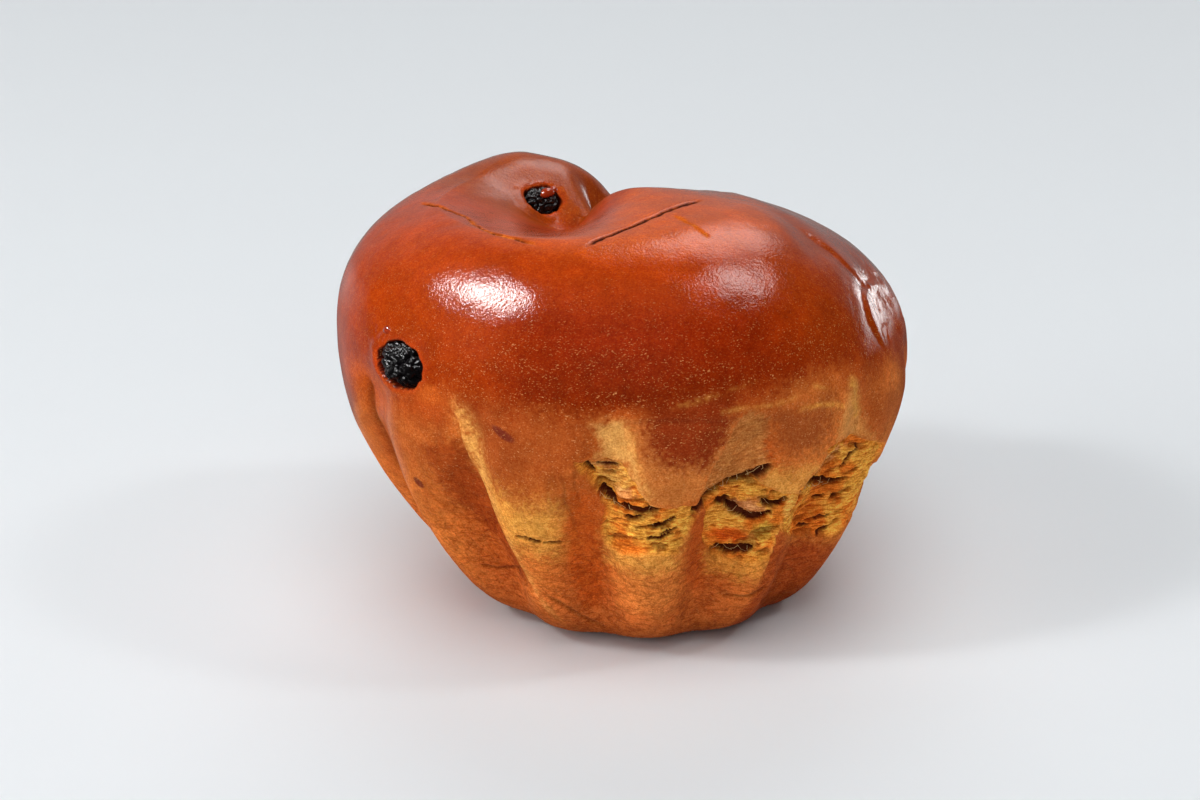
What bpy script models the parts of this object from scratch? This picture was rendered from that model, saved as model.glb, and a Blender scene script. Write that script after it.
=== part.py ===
"""Mini kugelhopf: a small sweet loaf, baked dome up in a fluted mould, with raisins in its crust.

The crust is one surface, worked out for each turn round the loaf and each share of the way up
from the middle of the underside (0) to the bottom of the dimple in the top (1). A turn of 0 is
the front (-Y), and it grows towards the right (+X).
"""
import math

import bmesh
import bpy
import numpy as np

# Driving dimensions of the dough, in metres. Each list goes round the loaf in eight steps:
# front, front right, right, back right, back, back left, left, front left. The side curves out
# from foot to shoulder, less its waist, the dome closes in to its crest, and from there the top
# falls to the dimple: at a steepness of 1 straight down, at 4 flat first and steep at the dimple.
FOOT_REACH = (0.0325, 0.0315, 0.0315, 0.0315, 0.0315, 0.0315, 0.0305, 0.0325)
WAIST = (0.0, 0.0010, 0.0020, 0.0008, 0.0, 0.0, 0.0, 0.0)
SHOULDER_REACH = (0.0515, 0.0522, 0.0530, 0.0508, 0.0490, 0.0530, 0.0590, 0.0525)
SHOULDER_HEIGHT = (0.0485, 0.0470, 0.0468, 0.0487, 0.0495, 0.0508, 0.0535, 0.0505)
CREST_REACH = (0.0440, 0.0425, 0.0270, 0.0220, 0.0165, 0.0175, 0.0210, 0.0345)
CREST_HEIGHT = (0.0800, 0.0815, 0.0754, 0.0705, 0.0685, 0.0760, 0.0770, 0.0785)
DOME_SQUARENESS = (1.00, 0.98, 0.88, 0.90, 0.86, 0.74, 0.78, 0.85)
DIMPLE_X, DIMPLE_Y, DIMPLE_HEIGHT = -0.0130, 0.0200, 0.0672
DIMPLE_STEEPNESS = (1.3, 4.0, 3.0, 1.6, 1.4, 1.4, 1.4, 1.3)
FOOT_ROUND = 0.0045
FOOT_ROUND_HEIGHT = 0.0025

# Sideways shift that puts the middle of the loaf's box over the origin.
SHIFT_X, SHIFT_Y = 0.0031, 0.0012

# The dough ring closed over the mould's tube: one end rose as a bun behind the dimple, a navel
# sank beside the raisin, and a cleft runs from the dimple over the back.
BUN_X, BUN_Y, BUN_BASE = -0.0210, 0.0330, 0.0505
BUN_LEFT, BUN_RIGHT, BUN_FRONT, BUN_BACK = 0.0260, 0.0245, 0.0245, 0.0155
BUN_RISE = 0.0275
BUN_BLEND_LEFT, BUN_BLEND_RIGHT, BUN_BLEND_RUN = 0.0045, 0.0012, 0.0120
BUN_FALL = 0.0600
CLEFT_X, CLEFT_Y = 0.0100, 0.0400
CLEFT_DEPTH, CLEFT_WIDTH = 0.0055, 0.0065
CLEFT_NARROWING = 0.35
CLEFT_HEIGHTS = (0.030, 0.058)
NAVEL_X, NAVEL_Y = -0.0178, 0.0205
NAVEL_DEPTH, NAVEL_WIDTH = 0.0036, 0.0060

# The mould's flutes, which swirl to the right as they rise and fade into flat panels. Each pair
# of heights is where something starts and where it is complete.
FLUTES = 12
FLUTE_FRONT = math.radians(3.0)
FLUTE_SWIRL = math.radians(6.0)
SWIRL_HEIGHTS = (0.028, 0.050)
FLUTE_DEPTH = 0.0056
FLUTE_SHARPNESS = 1.25
FLUTE_FOOT_SHARE = 0.45
FLUTE_FULL_HEIGHTS = (0.0, 0.010)
FLUTE_FADE_HEIGHTS = (0.026, 0.044)
PANEL_DEPTH = 0.0022
PANEL_SHARPNESS = 3
PANEL_RISE_HEIGHTS = (0.028, 0.040)
PANEL_FADE_HEIGHTS = (0.047, 0.057)

# Where each part of the crust ends, as a share of the way from underside to dimple.
FOOT_SHARE, SIDE_SHARE, CREST_SHARE = 0.08, 0.50, 0.82

# The belly tore open between the flutes as the dome rose. The strength goes round in eight steps,
# as above. A gash is its two ends (turn in degrees, height in mm), half width and depth in mm.
TEAR_STRENGTH = (0.95, 1.0, 0.9, 0.6, 0.7, 0.5, 0.12, 0.15)
TEAR_DEPTH = 0.0014
TEAR_ON_RIDGE = 0.2
TEAR_TOP_RIDGE, TEAR_TOP_VALLEY = 0.0335, 0.0435
TEAR_FOOT_RIDGE, TEAR_FOOT_VALLEY = 0.0275, 0.0240
TEAR_TOP_EDGE, TEAR_FOOT_EDGE = 0.0008, 0.0028
RAGGED_SIZE, RAGGED_HEIGHT = 0.0050, 0.0018
CRAG_SIZE, CRAG_DEPTH = 0.0030, 0.0007
MM_PER_DEGREE = 0.85
GASHES = (
    (-13.0, 43.5, -4.0, 36.5, 1.3, 2.6),
    (12.5, 39.2, 28.5, 43.2, 1.2, 2.8),
    (19.0, 32.5, 33.0, 33.5, 1.3, 2.0),
    (39.0, 37.5, 60.0, 34.0, 1.2, 2.4),
)

# Dents in the right shoulder: turn (degrees), height (mm), half size along and up (mm), depth (mm)
DENTS = (
    (75.0, 61.0, 7.0, 7.0, 1.2),
    (58.5, 76.5, 5.0, 3.0, 0.7),
)

# Raisins: turn (degrees), share of the way up, half sizes across, up and out, and how far the
# middle lies under the crust. A gap stays between each raisin and its pit.
RAISINS = {
    "raisin_side": (-55.5, 0.536, 0.0058, 0.0041, 0.0036, 0.0018),
    "raisin_top": (-105.0, 0.934, 0.0037, 0.0032, 0.0027, 0.0006),
}
RAISIN_COLUMNS, RAISIN_ROWS = 28, 16
RAISIN_WRINKLE = 0.0004
RAISIN_GAP = 0.0005

# Mesh density: columns stand closer at the front right and rows closer in the torn belly.
COLUMNS = 118
ROWS = 42
DENSE_TURN = math.radians(15.0)
DENSE_PULL = 0.30

CRUST_COLOUR = (0.40, 0.065, 0.012, 1.0)
RAISIN_COLOUR = (0.012, 0.008, 0.007, 1.0)


def round_loaf(values, turn):
    """Smooth value at a turn, from values at even steps round the loaf (periodic Catmull-Rom)."""
    values = np.asarray(values, float)
    count = len(values)
    place = np.mod(turn / (2 * np.pi) * count, count)
    index = np.floor(place).astype(int) % count
    part = place - np.floor(place)
    before, here, after, beyond = (values[(index + step) % count] for step in (-1, 0, 1, 2))
    bend = 2 * before - 5 * here + 4 * after - beyond + part * (3 * (here - after) + beyond - before)
    return here + 0.5 * part * (after - before + part * bend)


def ease(low, high, value):
    """Smooth step from 0 at low to 1 at high."""
    share = np.clip((value - low) / (high - low), 0, 1)
    return share * share * (3 - 2 * share)


def lumps(points, size, seed):
    """Smooth random bumps of about that size, from -1 to 1, the same on each run."""
    scaled = points / size
    cell = np.floor(scaled).astype(np.int64)
    part = scaled - cell
    part = part * part * (3 - 2 * part)
    total = 0
    for corner in np.ndindex(2, 2, 2):
        near = np.where(corner, part, 1 - part).prod(axis=-1)
        x, y, z = np.moveaxis(cell + corner, -1, 0)
        mixed = (x * 73856093) ^ (y * 19349663) ^ (z * 83492791) ^ (seed * 2654435761)
        mixed = (mixed ^ (mixed >> 13)) * 1274126177
        total = total + near * (((mixed ^ (mixed >> 16)) & 0xFFFF) / 32767.5 - 1)
    return total


def valley_at(turn, height):
    """0 on a flute's ridge and 1 in the valley between two flutes."""
    swirl = FLUTE_SWIRL * ease(*SWIRL_HEIGHTS, height)
    return 0.5 - 0.5 * np.cos((turn - FLUTE_FRONT - swirl) * FLUTES)


def dough_form(turn, share):
    """The loaf without its tears and dents."""
    reach = round_loaf(SHOULDER_REACH, turn)
    height = round_loaf(SHOULDER_HEIGHT, turn)
    crest_reach = round_loaf(CREST_REACH, turn)
    crest_height = round_loaf(CREST_HEIGHT, turn)
    foot = round_loaf(FOOT_REACH, turn)
    squareness = round_loaf(DOME_SQUARENESS, turn)

    up = np.clip((share - FOOT_SHARE) / (SIDE_SHARE - FOOT_SHARE), 0, 1)
    side_z = height * up
    flute = valley_at(turn, side_z) ** FLUTE_SHARPNESS * FLUTE_DEPTH * (1 - ease(*FLUTE_FADE_HEIGHTS, side_z))
    flute = flute * (FLUTE_FOOT_SHARE + (1 - FLUTE_FOOT_SHARE) * ease(*FLUTE_FULL_HEIGHTS, side_z))
    side_r = reach - (reach - foot) * (1 - up) ** 2 - flute
    side_r = side_r - FOOT_ROUND * np.exp(-side_z / FOOT_ROUND_HEIGHT)
    side_r = side_r - round_loaf(WAIST, turn) * np.sin(np.pi * up)
    foot_flute = valley_at(turn, 0 * turn) ** FLUTE_SHARPNESS * FLUTE_DEPTH * FLUTE_FOOT_SHARE
    foot_r = (foot - FOOT_ROUND - foot_flute) * share / FOOT_SHARE

    over = np.clip((share - SIDE_SHARE) / (CREST_SHARE - SIDE_SHARE), 0, 1) * np.pi / 2
    dome_r = crest_reach + (reach - crest_reach) * np.maximum(np.cos(over), 0) ** squareness
    dome_z = height + (crest_height - height) * np.sin(over) ** squareness
    inward = np.clip((share - CREST_SHARE) / (1 - CREST_SHARE), 0, 1)
    dip_r = crest_reach * (1 - inward)
    dip_z = crest_height + (DIMPLE_HEIGHT - crest_height) * inward ** round_loaf(DIMPLE_STEEPNESS, turn)

    bands = [share <= FOOT_SHARE, share <= SIDE_SHARE, share <= CREST_SHARE]
    r = np.select(bands, [foot_r, side_r, dome_r], dip_r)
    z = np.select(bands, [0 * side_z, side_z, dome_z], dip_z)
    drift = 1 - np.maximum(np.cos(over), 0) ** squareness
    x = DIMPLE_X * drift + r * np.sin(turn)
    y = DIMPLE_Y * drift - r * np.cos(turn)

    top = ease(SIDE_SHARE, SIDE_SHARE + 0.15, share)
    away_x = (x - BUN_X) / np.where(x < BUN_X, BUN_LEFT, BUN_RIGHT)
    away_y = (y - BUN_Y) / np.where(y < BUN_Y, BUN_FRONT, BUN_BACK)
    away = np.hypot(away_x, away_y)
    bun_z = BUN_BASE + BUN_RISE * np.sqrt(np.clip(1 - away ** 2, 0, 1)) - BUN_FALL * np.maximum(away - 1, 0)
    left = ease(DIMPLE_X, DIMPLE_X - BUN_BLEND_RUN, x)
    blend = BUN_BLEND_RIGHT + (BUN_BLEND_LEFT - BUN_BLEND_RIGHT) * left
    lift = np.sqrt((bun_z - z) ** 2 + blend ** 2) * 0.5 + (bun_z - z) * 0.5
    navel = NAVEL_DEPTH * np.exp(-((x - NAVEL_X) ** 2 + (y - NAVEL_Y) ** 2) / NAVEL_WIDTH ** 2)
    z = z + (lift - navel) * top
    return np.stack([x + SHIFT_X, y + SHIFT_Y, z], axis=-1)


def outward(turn, share):
    """Unit vector out of the dough, by small steps along and round it."""
    step = 1e-3
    across = dough_form(turn + step, share) - dough_form(turn - step, share)
    along = dough_form(turn, np.minimum(share + step, 1)) - dough_form(turn, np.maximum(share - step, 0))
    normal = np.cross(across, along)
    return normal / np.maximum(np.linalg.norm(normal, axis=-1, keepdims=True), 1e-12)


def torn(turn, share, place):
    """How deep the belly is torn at each point."""
    z = place[..., 2]
    side = (share > FOOT_SHARE) & (share < SIDE_SHARE + 0.1)
    valley = valley_at(turn, z)
    ragged = lumps(place, RAGGED_SIZE, 7) * RAGGED_HEIGHT
    upper = TEAR_TOP_RIDGE + (TEAR_TOP_VALLEY - TEAR_TOP_RIDGE) * valley + ragged
    lower = TEAR_FOOT_RIDGE + (TEAR_FOOT_VALLEY - TEAR_FOOT_RIDGE) * valley + ragged
    inside = ease(-TEAR_TOP_EDGE, TEAR_TOP_EDGE, upper - z) * ease(-TEAR_FOOT_EDGE, TEAR_FOOT_EDGE, z - lower)
    strength = np.clip(round_loaf(TEAR_STRENGTH, turn), 0, 1) * (TEAR_ON_RIDGE + (1 - TEAR_ON_RIDGE) * valley)
    depth = strength * inside * (TEAR_DEPTH + CRAG_DEPTH * lumps(place, CRAG_SIZE, 3))
    for turn_from, z_from, turn_to, z_to, half_width, gash_depth in GASHES:
        run_x, run_z = (turn_to - turn_from) * MM_PER_DEGREE, z_to - z_from
        run = math.hypot(run_x, run_z)
        off_x = (np.degrees(turn) - turn_from) * MM_PER_DEGREE
        off_z = z * 1000 - z_from
        along = (off_x * run_x + off_z * run_z) / run ** 2
        aside = (off_x * run_z - off_z * run_x) / run / half_width
        open_share = np.exp(-aside ** 2) * ease(-0.05, 0.15, along) * ease(-0.05, 0.15, 1 - along)
        depth = np.maximum(depth, open_share * gash_depth * 0.001)
    return depth * side


def cleft(place):
    """How deep the cleft is that runs from the dimple over the back of the loaf."""
    from_x, from_y = DIMPLE_X + SHIFT_X, DIMPLE_Y + SHIFT_Y
    run_x, run_y = CLEFT_X - from_x, CLEFT_Y - from_y
    run = math.hypot(run_x, run_y)
    off_x, off_y = place[..., 0] - from_x, place[..., 1] - from_y
    along = (off_x * run_x + off_y * run_y) / run ** 2
    width = CLEFT_WIDTH * (1 - CLEFT_NARROWING * ease(0.7, 1.2, along))
    aside = (off_x * run_y - off_y * run_x) / run / width
    return CLEFT_DEPTH * np.exp(-aside ** 2) * ease(0.05, 0.4, along) * ease(*CLEFT_HEIGHTS, place[..., 2])


def dented(turn, place):
    """How deep the dents are at each point."""
    depth = 0
    for dent_turn, dent_z, half_along, half_up, dent_depth in DENTS:
        along = (np.degrees(turn) - dent_turn) * MM_PER_DEGREE / half_along
        up = (place[..., 2] * 1000 - dent_z) / half_up
        depth = depth + dent_depth * 0.001 * np.exp(-along ** 2 - up ** 2)
    return depth


def crust(turn, share):
    """The loaf's outer surface."""
    place = dough_form(turn, share)
    z = place[..., 2]
    panel = valley_at(turn, z) ** PANEL_SHARPNESS * PANEL_DEPTH
    panel = panel * ease(*PANEL_RISE_HEIGHTS, z) * (1 - ease(*PANEL_FADE_HEIGHTS, z))
    depth = panel + torn(turn, share, place) + cleft(place) + dented(turn, place)
    return place - outward(turn, share) * (depth * (share > FOOT_SHARE))[..., None]


def row_share(level):
    """Share of the way up for a mesh row, with rows closer together in the torn belly."""
    rows = (0, 2, 4, 9, 24, 35, ROWS)
    shares = (0, FOOT_SHARE, 0.12, 0.25, 0.46, CREST_SHARE, 1)
    return np.interp(level * ROWS, rows, shares)


def empty_mesh_object(name, collection):
    mesh = bpy.data.meshes.new(name)
    piece = bpy.data.objects.new(name, mesh)
    collection.objects.link(piece)
    return piece


def material(name, colour, roughness):
    finish = bpy.data.materials.new(name)
    finish.use_nodes = True
    shader = finish.node_tree.nodes["Principled BSDF"]
    shader.inputs["Base Color"].default_value = colour
    shader.inputs["Roughness"].default_value = roughness
    shader.inputs["Metallic"].default_value = 0.0
    return finish


def make_loaf(collection):
    """A round mesh whose vertices are moved onto the crust."""
    loaf = empty_mesh_object("loaf", collection)
    shape = bmesh.new()
    bmesh.ops.create_uvsphere(shape, u_segments=COLUMNS, v_segments=ROWS, radius=1.0)
    ball = np.array([vertex.co[:] for vertex in shape.verts])
    even_turn = np.arctan2(ball[:, 0], -ball[:, 1])
    turn = even_turn - DENSE_PULL * np.sin(even_turn - DENSE_TURN)
    level = np.arccos(np.clip(-ball[:, 2], -1, 1)) / np.pi
    places = crust(turn, row_share(level))
    for vertex, place in zip(shape.verts, places):
        vertex.co = place
    bmesh.ops.triangulate(shape, faces=shape.faces)
    shape.to_mesh(loaf.data)
    shape.free()
    loaf.data.shade_smooth()
    loaf.data.materials.append(material("baked_crust", CRUST_COLOUR, 0.35))
    return loaf


def raisin_frame(turn_degrees, share, sunk):
    """Middle of a raisin under the crust, and its directions across, up and out."""
    turn = np.array([math.radians(turn_degrees)])
    level = np.array([share])
    out = outward(turn, level)[0]
    middle = dough_form(turn, level)[0] - out * sunk
    across = np.cross((0.0, 0.0, 1.0), out)
    across = across / np.linalg.norm(across)
    return middle, across, np.cross(out, across), out


def move_to_raisin(shape, frame, half_sizes, wrinkle):
    """Turn a ball of radius 1 into a raisin, or with no wrinkles into its pit."""
    middle, across, up, out = frame
    for vertex in shape.verts:
        a, b, c = vertex.co
        angle = math.atan2(b, a)
        crease = math.sin(5 * angle + 3 * c) * math.cos(4 * c - 1.5 * angle)
        size = 1 - wrinkle * (0.5 + 0.5 * crease) / half_sizes[0]
        spot = np.array([a, b, c]) * size * half_sizes
        vertex.co = middle + across * spot[0] + up * spot[1] + out * spot[2]


def make_raisin(name, loaf, parts, cutters):
    """A wrinkled raisin and the pit it sits in."""
    turn, share, half_across, half_up, half_out, sunk = RAISINS[name]
    frame = raisin_frame(turn, share, sunk)
    half_sizes = np.array([half_across, half_up, half_out])

    raisin = empty_mesh_object(name, parts)
    shape = bmesh.new()
    bmesh.ops.create_uvsphere(shape, u_segments=RAISIN_COLUMNS, v_segments=RAISIN_ROWS, radius=1.0)
    move_to_raisin(shape, frame, half_sizes, RAISIN_WRINKLE * 2)
    bmesh.ops.triangulate(shape, faces=shape.faces)
    shape.to_mesh(raisin.data)
    shape.free()
    raisin.data.shade_smooth()
    raisin.data.materials.append(material(name + "_skin", RAISIN_COLOUR, 0.4))

    pit = empty_mesh_object(name + "_pit", cutters)
    shape = bmesh.new()
    bmesh.ops.create_uvsphere(shape, u_segments=RAISIN_COLUMNS, v_segments=RAISIN_ROWS, radius=1.0)
    move_to_raisin(shape, frame, half_sizes + RAISIN_GAP, 0.0)
    shape.to_mesh(pit.data)
    shape.free()
    pit.hide_render = True
    pit.display_type = "WIRE"
    cut = loaf.modifiers.new(name + "_pit", "BOOLEAN")
    cut.operation = "DIFFERENCE"
    cut.solver = "EXACT"
    cut.object = pit
    return raisin


for old in list(bpy.data.objects):
    bpy.data.objects.remove(old, do_unlink=True)

parts = bpy.data.collections.new("mini_kugelhopf")
cutters = bpy.data.collections.new("cutters")
bpy.context.scene.collection.children.link(parts)
bpy.context.scene.collection.children.link(cutters)

loaf = make_loaf(parts)
for name in RAISINS:
    make_raisin(name, loaf, parts, cutters)
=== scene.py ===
import math

import bmesh
import bpy
import numpy as np
from mathutils import Matrix, Vector


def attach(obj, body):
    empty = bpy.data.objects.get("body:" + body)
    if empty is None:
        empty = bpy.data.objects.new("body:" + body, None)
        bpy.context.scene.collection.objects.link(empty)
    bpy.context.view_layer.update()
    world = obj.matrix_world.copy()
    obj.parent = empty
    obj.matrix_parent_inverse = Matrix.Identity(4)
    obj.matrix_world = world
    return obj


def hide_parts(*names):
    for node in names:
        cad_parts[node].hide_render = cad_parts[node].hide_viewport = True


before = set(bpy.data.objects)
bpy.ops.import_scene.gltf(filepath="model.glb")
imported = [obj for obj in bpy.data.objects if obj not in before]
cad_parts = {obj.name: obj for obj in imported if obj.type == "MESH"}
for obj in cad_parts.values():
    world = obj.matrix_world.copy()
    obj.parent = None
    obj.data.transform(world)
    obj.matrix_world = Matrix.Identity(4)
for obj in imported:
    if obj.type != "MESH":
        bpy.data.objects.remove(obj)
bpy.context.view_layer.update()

# The studio: a pale paper floor under soft lamps, with the camera looking down a little on the loaf's
# torn front. Some lamps only light it, and the others only glint in its glaze, which doesn't mirror
# the floor. Turns are in degrees from the front, growing to the right, and sizes in metres.
AIM = Vector((0.0031, 0.0012, 0.038))
CAMERA_RISE, CAMERA_AWAY = math.radians(22.0), 0.56
CAMERA_LENS, CAMERA_SENSOR = 85.0, 36.0
IMAGE_WIDTH, SHIFT_RIGHT, SHIFT_DOWN = 1200, 39.5, 2.0
FLOOR_HALF, FLOOR_COLOUR = 3.0, (0.752, 0.785, 0.812, 1.0)

# Each lamp's turn, rise above the floor, distance, width, power and use.
LAMPS = (
    ("key_lamp", -68.0, 42.0, 1.1, 0.15, 3.1, "light"),
    ("side_lamp", 84.0, 48.0, 1.1, 0.15, 1.5, "light"),
    ("top_fill", 0.0, 74.0, 3.0, 2.4, 44.0, "light"),
    ("left_fill", -68.0, 18.0, 1.8, 0.9, 8.4, "light"),
    ("front_fill", 0.0, 34.0, 3.2, 2.6, 21.5, "light"),
    ("back_fill", 180.0, 42.0, 3.2, 2.4, 30.0, "light"),
    ("key_glint", -87.0, 51.0, 0.90, 0.28, 7.0, "glint"),
    ("side_glint", 102.0, 63.0, 1.1, 0.36, 2.2, "glint"),
    ("back_glint", 158.0, 52.0, 0.6, 0.30, 0.52, "glint"),
    ("right_glint", 141.0, -8.0, 1.6, 0.7, 5.0, "glint"),
    ("left_glint", -130.0, -14.0, 1.0, 0.8, 0.6, "glint"),
)

# The sky's strength in front, behind and overhead, with the directions between which it changes.
SKY_COLOUR = (0.985, 0.985, 1.0, 1.0)
SKY_FRONT, SKY_BEHIND, SKY_TOP = 0.01, 0.26, 0.01
BEHIND_EDGE, TOP_EDGE = (0.40, 0.95), (0.55, 0.78)

camera = bpy.data.objects.new("camera", bpy.data.cameras.new("camera"))
camera.data.lens = CAMERA_LENS
camera.data.sensor_width = CAMERA_SENSOR
camera.data.shift_x = -SHIFT_RIGHT / IMAGE_WIDTH
camera.data.shift_y = SHIFT_DOWN / IMAGE_WIDTH
camera.location = AIM + CAMERA_AWAY * Vector((0, -math.cos(CAMERA_RISE), math.sin(CAMERA_RISE)))
camera.rotation_euler = (AIM - camera.location).to_track_quat("-Z", "Y").to_euler()
bpy.context.scene.collection.objects.link(camera)
bpy.context.scene.camera = camera
bpy.context.scene.view_settings.view_transform = "Standard"
bpy.context.scene.view_settings.look = "None"

for name, turn, rise, away, across, power, use in LAMPS:
    light = bpy.data.lights.new(name, "AREA")
    light.shape = "DISK"
    light.size = across
    light.energy = power
    lamp = bpy.data.objects.new(name, light)
    turn, rise = math.radians(turn), math.radians(rise)
    sideways = Vector((math.sin(turn), -math.cos(turn), 0)) * math.cos(rise)
    lamp.location = away * (sideways + Vector((0, 0, math.sin(rise))))
    lamp.rotation_euler = (-lamp.location).to_track_quat("-Z", "Y").to_euler()
    lamp.visible_glossy = use == "glint"
    lamp.visible_diffuse = use == "light"
    bpy.context.scene.collection.objects.link(lamp)


def add_node(tree, kind, inputs=(), **settings):
    """A new shader node. Each input is a number, a colour or the output that it is linked from."""
    node = tree.nodes.new("ShaderNode" + kind)
    for name, value in settings.items():
        setattr(node, name, value)
    for name, value in dict(inputs).items():
        socket = next(socket for socket in node.inputs if socket.name == name and socket.enabled)
        if isinstance(value, bpy.types.NodeSocket):
            tree.links.new(value, socket)
        else:
            socket.default_value = value
    return node


def remapped(tree, source, low, high, to_low, to_high, kind="LINEAR"):
    """A socket's values, carried from one range to another and held at its ends."""
    ends = {"Value": source, "From Min": low, "From Max": high, "To Min": to_low, "To Max": to_high}
    return add_node(tree, "MapRange", ends, interpolation_type=kind).outputs["Result"]


world = bpy.data.worlds.new("studio")
bpy.context.scene.world = world
world.use_nodes = True
sky = world.node_tree
direction = add_node(sky, "TexCoord").outputs["Generated"]
parts = add_node(sky, "SeparateXYZ", {"Vector": direction}).outputs
behind = remapped(sky, parts["Y"], *BEHIND_EDGE, SKY_FRONT, SKY_BEHIND, "SMOOTHSTEP")
overhead = remapped(sky, parts["Z"], *TOP_EDGE, 0.0, 1.0, "SMOOTHSTEP")
strength = add_node(sky, "Mix", {"Factor": overhead, "A": behind, "B": SKY_TOP}).outputs["Result"]
backdrop = sky.nodes["Background"]
sky.links.new(strength, backdrop.inputs["Strength"])
backdrop.inputs["Color"].default_value = SKY_COLOUR


def new_piece(name, shape, slot=None, stands_for=()):
    """Turn a bmesh into an object at the origin, and say what it rides on and stands for."""
    mesh = bpy.data.meshes.new(name)
    shape.to_mesh(mesh)
    shape.free()
    piece = bpy.data.objects.new(name, mesh)
    bpy.context.scene.collection.objects.link(piece)
    mesh.shade_smooth()
    if slot:
        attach(piece, "root")
    if stands_for:
        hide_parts(*stands_for)
    return piece


def principled(name, values):
    """A finish with these values on its shader: the material, its nodes' tree and its shader."""
    finish = bpy.data.materials.new(name)
    finish.use_nodes = True
    shader = finish.node_tree.nodes["Principled BSDF"]
    for socket, value in values.items():
        shader.inputs[socket].default_value = value
    return finish, finish.node_tree, shader


shape = bmesh.new()
bmesh.ops.create_grid(shape, x_segments=4, y_segments=4, size=FLOOR_HALF)
floor = new_piece("floor", shape)
paper = {"Base Color": FLOOR_COLOUR, "Roughness": 0.9, "Specular IOR Level": 0.1}
floor.data.materials.append(principled("seamless_paper", paper)[0])
floor.visible_glossy = False

# The loaf: enriched yeast dough, baked dome up in a fluted ring mould until it rose over the rim,
# brushed with egg and stood on its narrow end. One skin is worked out for each turn round it and
# each share of the way up from the middle of the underside (0) to the bottom of the dimple (1).
# The lists go round in eight steps: front, front right, right, back right, back and so on.
FOOT_REACH = (0.0333, 0.0333, 0.0325, 0.0315, 0.0315, 0.0315, 0.0305, 0.0325)
WAIST = (0.0, 0.0010, 0.0020, 0.0008, 0.0, 0.0, 0.0, 0.0)
SHOULDER_REACH = (0.0515, 0.0522, 0.0530, 0.0508, 0.0490, 0.0530, 0.0590, 0.0525)
SHOULDER_HEIGHT = (0.0485, 0.0470, 0.0468, 0.0487, 0.0495, 0.0508, 0.0535, 0.0505)
CREST_REACH = (0.0440, 0.0425, 0.0270, 0.0220, 0.0165, 0.0175, 0.0210, 0.0345)
CREST_HEIGHT = (0.0800, 0.0815, 0.0754, 0.0705, 0.0685, 0.0760, 0.0770, 0.0785)
DOME_SQUARENESS = (1.00, 0.98, 0.88, 0.90, 0.86, 0.74, 0.78, 0.85)
DIMPLE_X, DIMPLE_Y, DIMPLE_HEIGHT = -0.0130, 0.0200, 0.0672
DIMPLE_STEEPNESS = (1.3, 4.0, 3.0, 1.6, 1.4, 1.4, 1.4, 1.3)
FOOT_ROUND, FOOT_ROUND_HEIGHT = 0.0068, 0.0023
SHIFT_X, SHIFT_Y = 0.0031, 0.0012
BUN_X, BUN_Y, BUN_BASE = -0.0210, 0.0330, 0.0505
BUN_LEFT, BUN_RIGHT, BUN_FRONT, BUN_BACK = 0.0260, 0.0245, 0.0245, 0.0155
BUN_RISE, BUN_FALL = 0.0275, 0.0600
BUN_BLEND_LEFT, BUN_BLEND_RIGHT, BUN_BLEND_RUN = 0.0045, 0.0012, 0.0120
CLEFT_X, CLEFT_Y = 0.0100, 0.0400
CLEFT_DEPTH, CLEFT_WIDTH, CLEFT_NARROWING = 0.0055, 0.0065, 0.35
CLEFT_HEIGHTS = (0.030, 0.058)
NAVEL_X, NAVEL_Y = -0.0178, 0.0205
NAVEL_DEPTH, NAVEL_WIDTH = 0.0036, 0.0060
FLUTES = 12
FLUTE_FRONT, FLUTE_SWIRL = math.radians(3.0), math.radians(6.0)
SWIRL_HEIGHTS = (0.028, 0.050)
FLUTE_DEPTH, FLUTE_SHARPNESS, FLUTE_FOOT_SHARE = 0.0056, 1.25, 0.20
FLUTE_FULL_HEIGHTS, FLUTE_FADE_HEIGHTS = (0.0, 0.014), (0.026, 0.044)
PANEL_DEPTH, PANEL_SHARPNESS = 0.0022, 3
PANEL_RISE_HEIGHTS, PANEL_FADE_HEIGHTS = (0.028, 0.040), (0.047, 0.057)
FOOT_SHARE, SIDE_SHARE, CREST_SHARE = 0.08, 0.50, 0.82
MM_PER_DEGREE = 0.85


def round_loaf(values, turn):
    """Smooth value at a turn, from values at even steps round the loaf."""
    values = np.asarray(values, float)
    count = len(values)
    place = np.mod(turn / (2 * np.pi) * count, count)
    index = np.floor(place).astype(int) % count
    part = place - np.floor(place)
    before, here, after, beyond = (values[(index + step) % count] for step in (-1, 0, 1, 2))
    bend = 2 * before - 5 * here + 4 * after - beyond + part * (3 * (here - after) + beyond - before)
    return here + 0.5 * part * (after - before + part * bend)


def ease(low, high, value):
    """Smooth step from 0 at low to 1 at high."""
    share = np.clip((value - low) / (high - low), 0, 1)
    return share * share * (3 - 2 * share)


def lumps(points, size, seed):
    """Smooth random bumps of about that size, from -1 to 1, the same on each run."""
    scaled = points / size
    cell = np.floor(scaled).astype(np.int64)
    part = scaled - cell
    part = part * part * (3 - 2 * part)
    total = 0
    for corner in np.ndindex(2, 2, 2):
        near = np.where(corner, part, 1 - part).prod(axis=-1)
        x, y, z = np.moveaxis(cell + corner, -1, 0)
        mixed = (x * 73856093) ^ (y * 19349663) ^ (z * 83492791) ^ (seed * 2654435761)
        mixed = (mixed ^ (mixed >> 13)) * 1274126177
        total = total + near * (((mixed ^ (mixed >> 16)) & 0xFFFF) / 32767.5 - 1)
    return total


def valley_at(turn, height):
    """0 on a flute's ridge and 1 in the valley between two flutes."""
    swirl = FLUTE_SWIRL * ease(*SWIRL_HEIGHTS, height)
    return 0.5 - 0.5 * np.cos((turn - FLUTE_FRONT - swirl) * FLUTES)


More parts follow.
